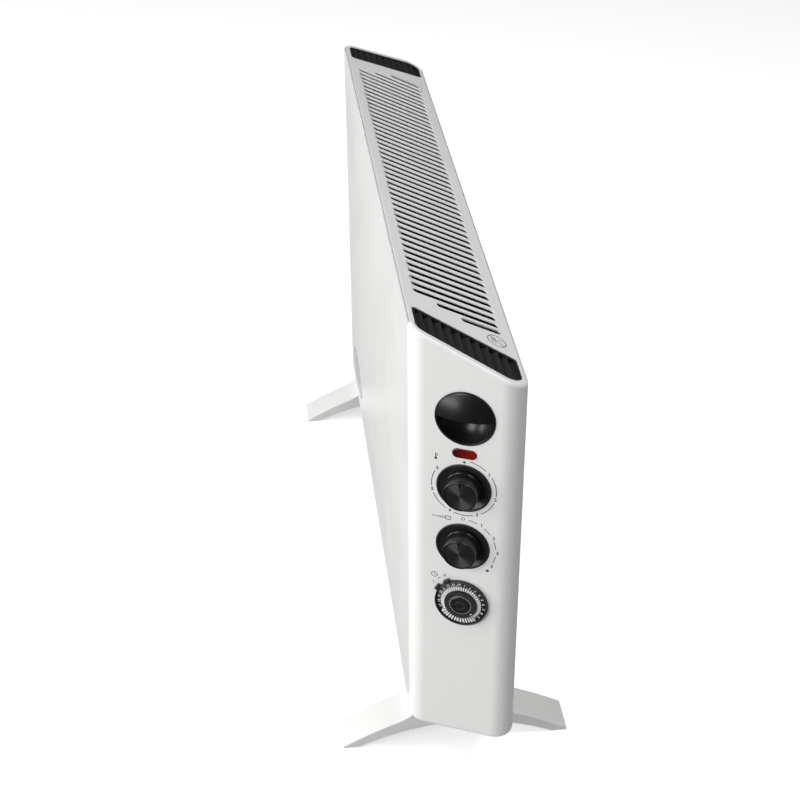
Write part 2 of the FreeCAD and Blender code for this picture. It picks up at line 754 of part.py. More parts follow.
def make_foot_pads():
    pads = [pad_form(side, pad_recess, 0.0) for side in (-1, 1)]
    return Part.Compound(pads + [mirror(p) for p in pads])


def screw(length):
    """Pan head screw, head down at z = 0, shank along +z."""
    head = disc(screw_head_r, -screw_head, 0)
    head = head.makeFillet(screw_head * 0.4, edges_on(head, lambda p: p.z < -screw_head + 1e-4))
    long, thick = screw_slot_half, screw_slot / 2
    slots = [box(-x, x, -y, y, -screw_head - 1, -screw_head / 2) for x, y in ((long, thick), (thick, long))]
    shank = disc(screw_r - screw_shank_clear, 0, length)
    return head.fuse(shank).cut(Part.Compound(slots)).removeSplitter()


def make_foot_screws():
    screws = []
    for y in (-foot_screw_y, foot_screw_y):
        piece = screw(body_bottom + 8 - arch_top)
        piece.translate(V(foot_mid, y, arch_top - 1))
        screws += [piece, mirror(piece)]
    return Part.Compound(screws)


def make_casing_screws():
    screws = []
    for z in side_screw_heights:
        piece = screw(lip + sheet + gap + 4)
        piece.rotate(V(0, 0, 0), V(1, 0, 0), 90)
        piece.translate(V(side_screw_x, rear_y, z))
        screws += [piece, mirror(piece)]
    return Part.Compound(screws)


def make_badge():
    curve = Part.Ellipse(V(0, 0, 0), badge_length / 2, badge_height / 2).toShape()
    plate = Part.Face(Part.Wire(curve)).extrude(V(0, 0, badge_thick))
    plate = plate.makeFillet(0.3, edges_on(plate, lambda p: p.z > badge_thick - 1e-4))
    plate.rotate(V(0, 0, 0), V(1, 0, 0), 90)
    plate.translate(V(badge_x, front_y, badge_z))
    return plate


# ---- inside ----
def make_bulkhead():
    room = block(bulkhead_clear + sheet + gap, chamber_drop, 0.0)
    plate = room.common(box(bulkhead_x, bulkhead_x + sheet, -far, far, floor_z, far))
    foot = box(bulkhead_x - bulkhead_foot, bulkhead_x + sheet, -baffle_y + 4, baffle_y - 4,
               floor_z, floor_z + sheet)
    holes = [cylinder(bush_r, (bulkhead_x - 5, rod_y, z), (bulkhead_x + 5, rod_y, z)) for z in rod_heights]
    holes.append(cylinder(wire_hole_r, (bulkhead_x - 5, baffle_y / 2, baffle_low - 10),
                          (bulkhead_x + 5, baffle_y / 2, baffle_low - 10)))
    return plate.fuse(foot).cut(Part.Compound(holes)).removeSplitter()


def make_rod(z):
    return cylinder(rod_r, (-bulkhead_x - rod_over, rod_y, z), (bulkhead_x + rod_over, rod_y, z))


def make_fins(z):
    fins = []
    count = int((bulkhead_x - bush_length - fin_pitch) // fin_pitch)
    for i in range(-count, count + 1):
        x = i * fin_pitch
        plate = box(x - fin / 2, x + fin / 2, rod_y - fin_depth / 2, rod_y + fin_depth / 2,
                    z - fin_height / 2, z + fin_height / 2)
        fins.append(plate.cut(cylinder(rod_r, (x - 2, rod_y, z), (x + 2, rod_y, z))))
    return Part.Compound(fins)


def make_rod_bushes():
    bushes = []
    for z in rod_heights:
        start, end = bulkhead_x - bush_length / 2, bulkhead_x + bush_length
        bush = cylinder(bush_r - 0.1, (start, rod_y, z), (end, rod_y, z))
        collar = cylinder(bush_r + 3, (bulkhead_x + sheet, rod_y, z), (bulkhead_x + sheet + 2, rod_y, z))
        bush = bush.fuse(collar).cut(cylinder(rod_r, (start - 1, rod_y, z), (end + 1, rod_y, z)))
        bush = bush.removeSplitter()
        bushes += [bush, mirror(bush)]
    return Part.Compound(bushes)


def make_baffle(side):
    """Reflector sheet before or behind the heating rods, with a folded foot at each bulkhead."""
    y = side * baffle_y
    reach, top = bulkhead_x - gap, roof_z(y) - baffle_drop
    plate = box(-reach, reach, y - sheet / 2, y + sheet / 2, baffle_low, top)
    y0, y1 = sorted((y + side * sheet / 2, y - side * baffle_tab))
    tabs = [box(x0, x0 + sheet, y0, y1, baffle_low + 20, top - 20)
            for x0 in (-reach, reach - sheet)]
    return plate.fuse(tabs).removeSplitter()


def make_impeller():
    length = fan_to - fan_from
    solids = [disc(fan_r, 0, fan_disc), disc(fan_r, length - fan_disc, length),
              disc(fan_r, length / 2 - fan_disc / 2, length / 2 + fan_disc / 2),
              disc(fan_hub_r, -4, fan_disc), disc(fan_hub_r, length - fan_disc, length + 4)]
    for i in range(fan_blades):
        blade = box(fan_r - fan_blade_depth - 0.6, fan_r - 0.6, -fan_blade / 2, fan_blade / 2, 0, length)
        blade.rotate(V(fan_r - 0.6, 0, 0), V(0, 0, 1), 28)
        blade.rotate(V(0, 0, 0), V(0, 0, 1), 360.0 * i / fan_blades)
        solids.append(blade)
    wheel = solids[0].fuse(solids[1:]).removeSplitter().cut(disc(fan_shaft_r, -10, length + 10))
    wheel.rotate(V(0, 0, 0), V(0, 1, 0), 90)
    wheel.translate(V(fan_from, fan_y, fan_z))
    return wheel


motor_from = fan_to + motor_gap
motor_to = motor_from + stator_length
shaft_from = fan_from - fan_stub
shaft_to = motor_to + 12.0
core_top = fan_z + stator_height - core_below


def make_fan_shaft():
    return cylinder(fan_shaft_r, (shaft_from, fan_y, fan_z), (shaft_to, fan_y, fan_z))


def make_motor_stator():
    core = box(motor_from, motor_to, fan_y - stator_width / 2, fan_y + stator_width / 2,
               fan_z - core_below, core_top)
    half = stator_width / 2 - core_leg
    window = box(motor_from - 1, motor_to + 1, fan_y - half, fan_y + half, fan_z + 15, core_top - core_leg)
    tunnel = cylinder(tunnel_r, (motor_from - 1, fan_y, fan_z), (motor_to + 1, fan_y, fan_z))
    return core.cut(window).cut(tunnel)


def make_motor_coil():
    z = core_top - core_leg / 2
    outer = box(motor_from - 6, motor_to + 6, fan_y - 15, fan_y + 15, z - 11.5, z + 11.5)
    outer = outer.makeFillet(4.0, [e for e in outer.Edges if abs(e.tangentAt(e.FirstParameter).y) > 0.99])
    core = box(motor_from - 0.2, motor_to + 0.2, fan_y - 16, fan_y + 16, z - 6.2, z + 6.2)
    return outer.cut(core)


def make_motor_rotor():
    rotor = cylinder(tunnel_r - air_gap, (motor_from + 1, fan_y, fan_z), (motor_to - 1, fan_y, fan_z))
    return rotor.cut(cylinder(fan_shaft_r, (motor_from, fan_y, fan_z), (motor_to, fan_y, fan_z)))


bearing_places = (shaft_from + 6, motor_to + 5)


def bearing_stand(x):
    """Bracket that stands on the tray and holds a bush round the fan shaft."""
    upright = box(x - 1, x + 1, fan_y - 14, fan_y + 14, floor_z, fan_z + 12)
    foot = box(x - 13, x + 1, fan_y - 14, fan_y + 14, floor_z, floor_z + 2)
    hole = cylinder(bearing_r, (x - 6, fan_y, fan_z), (x + 6, fan_y, fan_z))
    return upright.fuse(foot).cut(hole).removeSplitter()


def make_fan_brackets():
    return Part.Compound([bearing_stand(x) for x in bearing_places])


def make_fan_bushes():
    bushes = []
    for x in bearing_places:
        start, end = (x - bearing_length / 2, fan_y, fan_z), (x + bearing_length / 2, fan_y, fan_z)
        bushes.append(cylinder(bearing_r, start, end).cut(cylinder(fan_shaft_r + bore_clearance, start, end)))
    return Part.Compound(bushes)


def make_motor_mount():
    """Two posts that carry the motor's iron core above the tray."""
    posts = []
    for side in (-1, 1):
        y = fan_y + side * (stator_width / 2 - 5)
        posts.append(box(motor_from + 3, motor_to - 3, y - 4, y + 4, floor_z, fan_z - core_below))
    return Part.Compound(posts)


def make_fan_scroll():
    """Curved guide round the back of the wheel, with a foot on the tray."""
    outer = fan_r + scroll_gap + scroll_wall
    x0, x1 = fan_from - 4, fan_to + 4
    wall = cylinder(outer, (x0, fan_y, fan_z), (x1, fan_y, fan_z))
    wall = wall.cut(cylinder(outer - scroll_wall, (x0, fan_y, fan_z), (x1, fan_y, fan_z)))
    wall = wall.common(box(x0, x1, fan_y, fan_y + outer, fan_z - outer, fan_z + outer))
    throat = box(x0, x1, fan_y + outer - scroll_wall, fan_y + outer, fan_z, baffle_low - throat_gap)
    lip_sheet = box(x0, x1, fan_y - 6, fan_y + 1, fan_z - outer, fan_z - outer + scroll_wall)
    stand = box(x0, x1, fan_y - 1, fan_y + 1, floor_z, fan_z - outer + scroll_wall)
    return wall.fuse([throat, lip_sheet, stand]).removeSplitter()


def gland_part(radius, y0, y1):
    return cylinder(radius, (gland_x, rear_y + y0, gland_z), (gland_x, rear_y + y1, gland_z))


def make_gland():
    body = gland_part(gland_r, -gland_in, gland_out)
    body = body.makeFillet(1.5, edges_on(body, lambda p: p.y > rear_y + gland_out - 1e-4))
    rims = [gland_part(gland_flange_r, 0, 2), gland_part(gland_flange_r, -sheet - 4, -sheet)]
    return body.fuse(rims).cut(gland_part(gland_bore_r, -30, 30)).removeSplitter()


terminal_places = [gland_x + block_size[0] * (i - 1) / 3 for i in range(3)]


def make_terminal_block():
    width, depth, height = block_size
    x0, top = gland_x - width / 2, floor_z + height
    body = box(x0, x0 + width, block_y - depth / 2, block_y + depth / 2, floor_z, top)
    return body.cut(Part.Compound([disc(2.2, top - 4, top + 1, x, block_y) for x in terminal_places]))


def wire(points):
    """Round lead through straight runs joined by tangent arcs."""
    edges = []
    last = V(*points[0])
    for before, corner, after in zip(points, points[1:], points[2:]):
        a, b, c = V(*before), V(*corner), V(*after)
        into, out = (b - a).normalize(), (c - b).normalize()
        turn = into.getAngle(out)
        reach = min(0.45 * min((b - a).Length, (c - b).Length), 8.0)
        radius = reach / math.tan(turn / 2)
        start, end = b - into * reach, b + out * reach
        middle = b + (out - into).normalize() * (radius / math.cos(turn / 2) - radius)
        edges += [Part.makeLine(last, start), Part.Arc(start, middle, end).toShape()]
        last = end
    edges.append(Part.makeLine(last, V(*points[-1])))
    path = Part.Wire(edges)
    first = (V(*points[1]) - V(*points[0])).normalize()
    profile = Part.Wire(Part.makeCircle(wire_r, V(*points[0]), first))
    return path.makePipeShell([profile], True, False)


def make_wiring():
    """Leads from the terminal block up to the controls, along the bulkhead."""
    top = floor_z + block_size[2]
    leads = []
    for i, z in enumerate((timer_z - 30, selector_z - 26, thermostat_z - 26)):
        start, run = terminal_places[i], bulkhead_x + 8 + lead_pitch * i
        leads.append(wire([(start, block_y, top), (start, block_y, top + 24), (run, lead_y, top + 40),
                           (run, lead_y, z)]))
    return Part.Compound(leads)


def make_thermal_cutout():
    """Disc thermostat clipped to the front reflector, above the upper heating rod."""
    y, z = -baffle_y + sheet / 2, rod_heights[1] + cutout_rise
    body = cylinder(cutout_r, (cutout_x, y, z), (cutout_x, y + 9, z))
    tab_width, tab_thick, tab_length = terminal
    tabs = [box(x - tab_width / 2, x + tab_width / 2, y + 9, y + 9 + tab_length, z - tab_thick / 2,
                z + tab_thick / 2) for x in (cutout_x - 4.5, cutout_x + 4.5)]
    return body.fuse(tabs).removeSplitter()


def make_pilot_lens():
    lens = lens_form(lens_length, lens_height, -lens_back, lens_proud)
    return lens.makeFillet(0.7, edges_on(lens, lambda p: p.z > lens_proud - 1e-4))


def make_pilot_lamp():
    half, rise = lens_length / 2 - 0.85, lens_height / 2 + 1.8
    holder = box(-half, half, -rise, rise, -lens_back - 3.5, -lens_back)
    bulb = disc(lamp_r, -lens_back - 3.5 - lamp_length, -lens_back - 3.5)
    return holder.fuse(bulb).removeSplitter()


def export(name, shape):
    solids = shape.Solids
    result = solids[0] if len(solids) == 1 else Part.Compound(solids)
    result.exportStep("parts/" + name + ".step")


end_grip = on_face(make_hand_grip(), grip_z)
insert = make_vent_insert()
bulkhead = make_bulkhead()
foot = make_foot()
fixed_tappets = [i for i in range(tappets) if i not in loose_tappets]
set_tappets = [make_tappet(i) for i in fixed_tappets if is_set(i)]
clear_tappets = [make_tappet(i) for i in fixed_tappets if not is_set(i)]

nodes = {
    "front_panel": make_front_panel(),
    "rear_panel": make_rear_panel(),
    "roof_grille": make_roof_grille(),
    "base_tray": make_base_tray(),
    "control_end_cap": make_control_end_cap(),
    "plain_end_cap": make_plain_end_cap(),
    "vent_insert_control": insert,
    "vent_insert_plain": mirror(insert),
    "hand_grip_control": end_grip,
    "hand_grip_plain": mirror(end_grip),
    "pilot_lens": on_face(make_pilot_lens(), pilot_z),
    "pilot_lamp": on_face(make_pilot_lamp(), pilot_z),
    "thermostat_dish": on_face(make_dish(), thermostat_z),
    "thermostat_knob": on_face(make_knob(), thermostat_z),
    "thermostat_shaft": on_face(make_shaft(), thermostat_z),
    "thermostat_body": on_face(make_control(thermostat_case), thermostat_z),
    "selector_dish": on_face(make_dish(), selector_z),
    "selector_knob": on_face(make_knob(), selector_z),
    "selector_shaft": on_face(make_shaft(), selector_z),
    "selector_switch": on_face(make_control(selector_case), selector_z),
    "timer_mode_ring": on_face(make_timer_ring(), timer_z),
    "timer_dial": on_face(make_dial(), timer_z),
    "timer_centre": on_face(make_timer_centre(), timer_z),
    "timer_tappets_set": on_face(Part.Compound(set_tappets), timer_z),
    "timer_tappets_clear": on_face(Part.Compound(clear_tappets), timer_z),
    "timer_case": on_face(make_timer_case(), timer_z),
    "foot_control": foot,
    "foot_plain": mirror(foot),
    "foot_pads": make_foot_pads(),
    "foot_screws": make_foot_screws(),
    "casing_screws": make_casing_screws(),
    "front_badge": make_badge(),
    "bulkhead_control": bulkhead,
    "bulkhead_plain": mirror(bulkhead),
    "heating_rod_low": make_rod(rod_heights[0]),
    "heating_rod_high": make_rod(rod_heights[1]),
    "heating_fins_low": make_fins(rod_heights[0]),
    "heating_fins_high": make_fins(rod_heights[1]),
    "rod_bushes": make_rod_bushes(),
    "front_reflector": make_baffle(-1),
    "rear_reflector": make_baffle(1),
    "thermal_cutout": make_thermal_cutout(),
    "fan_impeller": make_impeller(),
    "fan_shaft": make_fan_shaft(),
    "fan_bushes": make_fan_bushes(),
    "fan_brackets": make_fan_brackets(),
    "fan_scroll": make_fan_scroll(),
    "motor_stator": make_motor_stator(),
    "motor_coil": make_motor_coil(),
    "motor_rotor": make_motor_rotor(),
    "motor_posts": make_motor_mount(),
    "cord_gland": make_gland(),
    "terminal_block": make_terminal_block(),
    "wiring": make_wiring(),
}
for number, index in enumerate(loose_tappets, 1):
    nodes["timer_tappet_%d" % number] = on_face(make_tappet(index, bore_clearance), timer_z)

for name, shape in nodes.items():
    export(name, shape)
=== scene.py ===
import bpy
import json
import math
from mathutils import Matrix, Vector


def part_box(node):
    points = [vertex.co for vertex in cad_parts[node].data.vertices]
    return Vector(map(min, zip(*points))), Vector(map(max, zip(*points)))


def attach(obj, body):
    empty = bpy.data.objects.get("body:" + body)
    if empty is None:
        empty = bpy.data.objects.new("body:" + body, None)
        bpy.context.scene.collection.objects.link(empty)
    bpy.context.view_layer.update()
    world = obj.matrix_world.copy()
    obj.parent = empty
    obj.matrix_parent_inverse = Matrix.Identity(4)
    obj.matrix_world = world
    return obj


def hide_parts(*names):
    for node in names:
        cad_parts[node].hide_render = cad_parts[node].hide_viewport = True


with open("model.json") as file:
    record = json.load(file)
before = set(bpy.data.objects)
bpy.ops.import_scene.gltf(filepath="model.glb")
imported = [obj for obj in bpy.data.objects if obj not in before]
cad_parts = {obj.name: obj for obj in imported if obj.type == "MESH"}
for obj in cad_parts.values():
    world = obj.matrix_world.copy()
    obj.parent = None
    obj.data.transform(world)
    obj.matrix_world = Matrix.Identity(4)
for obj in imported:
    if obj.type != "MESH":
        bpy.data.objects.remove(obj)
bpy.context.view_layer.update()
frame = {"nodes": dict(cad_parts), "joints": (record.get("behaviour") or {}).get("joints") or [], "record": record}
nodes = frame["nodes"]
scene = bpy.context.scene
mm = 0.001
print("frame loaded:", len(nodes), "nodes")

# studio: camera, backdrop and lights
studio = {
    "cameraPlace": (1.27279, -0.15378, 1.01638),
    "cameraTurn": (57.0557, 0.3841, 83.6776),
    "lens": 68.2514,
    "floorSize": 12.0,
    "floorColour": (0.75, 0.75, 0.75, 1.0),
    "floorGlow": 0.585,
    "floorBounce": (0.52, 0.52, 0.52, 1.0),
    "floorMirrored": (0.05, 0.05, 0.05, 1.0),
    "worldLight": 0.16,
    "worldSeen": 1.25,
    "worldReflected": 0.05,
}
# each light: name, place, target, size, power, colour
softboxes = [
    ("keyBox", (-0.1, -1.75, 2.0), (0.1, 0.0, 0.25), (1.3, 1.0), 16.0, (1.0, 1.0, 1.0)),
    ("topBox", (0.4, 0.75, 2.15), (0.15, 0.0, 0.3), (1.4, 1.0), 25.0, (1.0, 1.0, 1.0)),
    ("frontBox", (-0.3, -2.4, 0.7), (0.0, 0.0, 0.25), (1.8, 1.2), 36.0, (1.0, 1.0, 1.0)),
    ("endBox", (1.6, -1.7, 1.5), (0.3, 0.0, 0.35), (1.0, 1.0), 22.0, (1.0, 1.0, 1.0)),
    ("lowBox", (1.2, -1.7, 0.25), (0.33, 0.0, 0.3), (1.1, 0.45), 9.0, (1.0, 1.0, 1.0)),
]


def deselectAll():
    if bpy.context.object and bpy.context.object.mode != "OBJECT":
        bpy.ops.object.mode_set(mode="OBJECT")
    bpy.ops.object.select_all(action="DESELECT")


def addCamera():
    camera = bpy.data.objects.new("studioCamera", bpy.data.cameras.new("studioCamera"))
    scene.collection.objects.link(camera)
    camera.location = studio["cameraPlace"]
    camera.rotation_euler = [math.radians(a) for a in studio["cameraTurn"]]
    camera.data.lens = studio["lens"]
    camera.data.sensor_width = 36.0
    camera.data.clip_end = 50.0
    scene.camera = camera


def addSoftbox(name, place, target, size, power, colour):
    data = bpy.data.lights.new(name, "AREA")
    data.shape = "RECTANGLE"
    data.size, data.size_y = size
    data.energy = power
    data.color = colour
    light = bpy.data.objects.new(name, data)
    scene.collection.objects.link(light)
    light.location = place
    light.rotation_euler = (Vector(target) - Vector(place)).to_track_quat("-Z", "Y").to_euler()


def addWorld():
    world = bpy.data.worlds.new("studioWorld")
    world.use_nodes = True
    tree = world.node_tree
    tree.nodes.clear()
    out = tree.nodes.new("ShaderNodeOutputWorld")
    paths = tree.nodes.new("ShaderNodeLightPath")
    strengths = []
    for key in ("worldLight", "worldReflected", "worldSeen"):
        background = tree.nodes.new("ShaderNodeBackground")
        background.inputs["Color"].default_value = (1.0, 1.0, 1.0, 1.0)
        background.inputs["Strength"].default_value = studio[key]
        strengths.append(background)
    glossMix = tree.nodes.new("ShaderNodeMixShader")
    seenMix = tree.nodes.new("ShaderNodeMixShader")
    tree.links.new(paths.outputs["Is Glossy Ray"], glossMix.inputs[0])
    tree.links.new(strengths[0].outputs[0], glossMix.inputs[1])
    tree.links.new(strengths[1].outputs[0], glossMix.inputs[2])
    tree.links.new(paths.outputs["Is Camera Ray"], seenMix.inputs[0])
    tree.links.new(glossMix.outputs[0], seenMix.inputs[1])
    tree.links.new(strengths[2].outputs[0], seenMix.inputs[2])
    tree.links.new(seenMix.outputs[0], out.inputs["Surface"])
    scene.world = world


def addFloor():
    deselectAll()
    bpy.ops.mesh.primitive_plane_add(size=studio["floorSize"], location=(0, 0, 0))
    floor = bpy.context.object
    floor.name = "studioFloor"
    material = bpy.data.materials.new("studioPaper")
    material.use_nodes = True
    tree = material.node_tree
    shader = tree.nodes["Principled BSDF"]
    shader.inputs["Base Color"].default_value = studio["floorColour"]
    shader.inputs["Roughness"].default_value = 0.9
    shader.inputs["Specular IOR Level"].default_value = 0.0
    shader.inputs["Emission Color"].default_value = (1.0, 1.0, 1.0, 1.0)
    shader.inputs["Emission Strength"].default_value = studio["floorGlow"]
    # the paper sends less light back to the heater than it shows
    shade = tree.nodes.new("ShaderNodeBsdfDiffuse")
    shade.inputs["Color"].default_value = studio["floorBounce"]
    dark = tree.nodes.new("ShaderNodeBsdfDiffuse")
    dark.inputs["Color"].default_value = studio["floorMirrored"]
    paths = tree.nodes.new("ShaderNodeLightPath")
    glossMix = tree.nodes.new("ShaderNodeMixShader")
    seenMix = tree.nodes.new("ShaderNodeMixShader")
    tree.links.new(paths.outputs["Is Glossy Ray"], glossMix.inputs[0])
    tree.links.new(shade.outputs[0], glossMix.inputs[1])
    tree.links.new(dark.outputs[0], glossMix.inputs[2])
    tree.links.new(paths.outputs["Is Camera Ray"], seenMix.inputs[0])
    tree.links.new(glossMix.outputs[0], seenMix.inputs[1])
    tree.links.new(shader.outputs[0], seenMix.inputs[2])
    tree.links.new(seenMix.outputs[0], tree.nodes["Material Output"].inputs["Surface"])
    floor.data.materials.append(material)


addCamera()
addWorld()
addFloor()
for box in softboxes:
    addSoftbox(*box)
scene.view_settings.view_transform = "Standard"
scene.view_settings.look = "None"
print("studio built")


# surface effects, each built once and used by many finishes
def newGroup(name, inputs, outputs):
    group = bpy.data.node_groups.new(name, "ShaderNodeTree")
    for title, kind, value in inputs:
        socket = group.interface.new_socket(name=title, in_out="INPUT", socket_type=kind)
        socket.default_value = value
    for title, kind in outputs:
        group.interface.new_socket(name=title, in_out="OUTPUT", socket_type=kind)
    return group, group.nodes.new("NodeGroupInput"), group.nodes.new("NodeGroupOutput")


def buildSurfaceGrain():
    group, into, out = newGroup(
        "surfaceGrain",
        [("Fine Scale", "NodeSocketFloat", 900.0), ("Broad Scale", "NodeSocketFloat", 14.0)],
        [("Height", "NodeSocketFloat"), ("Patch", "NodeSocketFloat")])
    place = group.nodes.new("ShaderNodeTexCoord")
    fine = group.nodes.new("ShaderNodeTexNoise")
    fine.inputs["Detail"].default_value = 2.0
    broad = group.nodes.new("ShaderNodeTexNoise")
    broad.inputs["Detail"].default_value = 3.0
    for noise, title in ((fine, "Fine Scale"), (broad, "Broad Scale")):
        group.links.new(place.outputs["Object"], noise.inputs["Vector"])
        group.links.new(into.outputs[title], noise.inputs["Scale"])
    group.links.new(fine.outputs["Fac"], out.inputs["Height"])
    group.links.new(broad.outputs["Fac"], out.inputs["Patch"])
    return group


surfaceGrain = buildSurfaceGrain()


# fine rings left by turning, read from a turned piece's own map
def buildTurningLines():
    group, into, out = newGroup(
        "turningLines",
        [("Ring Scale", "NodeSocketFloat", 3.0), ("Wander", "NodeSocketFloat", 0.6)],
        [("Height", "NodeSocketFloat")])
    place = group.nodes.new("ShaderNodeUVMap")
    place.uv_map = "turning"
    split = group.nodes.new("ShaderNodeSeparateXYZ")
    noise = group.nodes.new("ShaderNodeTexNoise")
    noise.noise_dimensions = "1D"
    noise.inputs["Detail"].default_value = 2.0
    group.links.new(place.outputs["UV"], split.inputs[0])
    group.links.new(split.outputs["Y"], noise.inputs["W"])
    group.links.new(into.outputs["Ring Scale"], noise.inputs["Scale"])
    group.links.new(into.outputs["Wander"], noise.inputs["Roughness"])
    group.links.new(noise.outputs["Fac"], out.inputs["Height"])
    return group


turningLines = buildTurningLines()


# a finish: colour, its darker patch colour (on the lens, the colour of its painted shade), roughness range, grain
# scales and bump depth
def makeFinish(name, colour, patchAndShadeColour=None, rough=(0.4, 0.46), metallic=0.0, fineScale=900.0,
               broadScale=14.0, bump=0.1, bumpDepth=0.00005, specular=0.5, coat=0.0, coatRough=0.1,
               ringScale=0.0, anisotropy=0.0, paintedShadeSpan=None):
    material = bpy.data.materials.new(name)
    material.use_nodes = True
    tree = material.node_tree
    shader = tree.nodes["Principled BSDF"]
    grain = tree.nodes.new("ShaderNodeGroup")
    grain.node_tree = surfaceGrain
    grain.inputs["Fine Scale"].default_value = fineScale
    grain.inputs["Broad Scale"].default_value = broadScale
    blend = tree.nodes.new("ShaderNodeMix")
    blend.data_type = "RGBA"
    blend.inputs["A"].default_value = (*colour, 1.0)
    blend.inputs["B"].default_value = (*(patchAndShadeColour or [c * 0.93 for c in colour]), 1.0)
    # painted shade: the lens is darkened towards one end along y, standing in for the side of it that the light
    # does not reach
    if paintedShadeSpan:  # from the patch colour to the main one along y, in metres
        place = tree.nodes.new("ShaderNodeTexCoord")
        split = tree.nodes.new("ShaderNodeSeparateXYZ")
        shadeRamp = tree.nodes.new("ShaderNodeMapRange")
        shadeRamp.inputs["From Min"].default_value, shadeRamp.inputs["From Max"].default_value = paintedShadeSpan
        shadeRamp.inputs["To Min"].default_value, shadeRamp.inputs["To Max"].default_value = 1.0, 0.0
        tree.links.new(place.outputs["Object"], split.inputs[0])
        tree.links.new(split.outputs["Y"], shadeRamp.inputs["Value"])
        tree.links.new(shadeRamp.outputs["Result"], blend.inputs["Factor"])
    else:
        tree.links.new(grain.outputs["Patch"], blend.inputs["Factor"])
    tree.links.new(blend.outputs["Result"], shader.inputs["Base Color"])
    spread = tree.nodes.new("ShaderNodeMapRange")
    spread.inputs["From Min"].default_value = 0.3
    spread.inputs["From Max"].default_value = 0.7
    spread.inputs["To Min"].default_value = rough[0]
    spread.inputs["To Max"].default_value = rough[1]
    tree.links.new(grain.outputs["Patch"], spread.inputs["Value"])
    tree.links.new(spread.outputs["Result"], shader.inputs["Roughness"])
    relief = tree.nodes.new("ShaderNodeBump")
    relief.inputs["Strength"].default_value = bump
    relief.inputs["Distance"].default_value = bumpDepth
    tree.links.new(grain.outputs["Height"], relief.inputs["Height"])
    if ringScale:
        rings = tree.nodes.new("ShaderNodeGroup")
        rings.node_tree = turningLines
        rings.inputs["Ring Scale"].default_value = ringScale
        tree.links.new(rings.outputs["Height"], relief.inputs["Height"])
    if anisotropy:
        grooves = tree.nodes.new("ShaderNodeTangent")
        grooves.direction_type = "UV_MAP"
        grooves.uv_map = "turning"
        tree.links.new(grooves.outputs["Tangent"], shader.inputs["Tangent"])
        shader.inputs["Anisotropic"].default_value = anisotropy
        shader.inputs["Anisotropic Rotation"].default_value = 0.25
    tree.links.new(relief.outputs["Normal"], shader.inputs["Normal"])
    shader.inputs["Metallic"].default_value = metallic
    shader.inputs["Specular IOR Level"].default_value = specular
    shader.inputs["Coat Weight"].default_value = coat
    shader.inputs["Coat Roughness"].default_value = coatRough
    return material


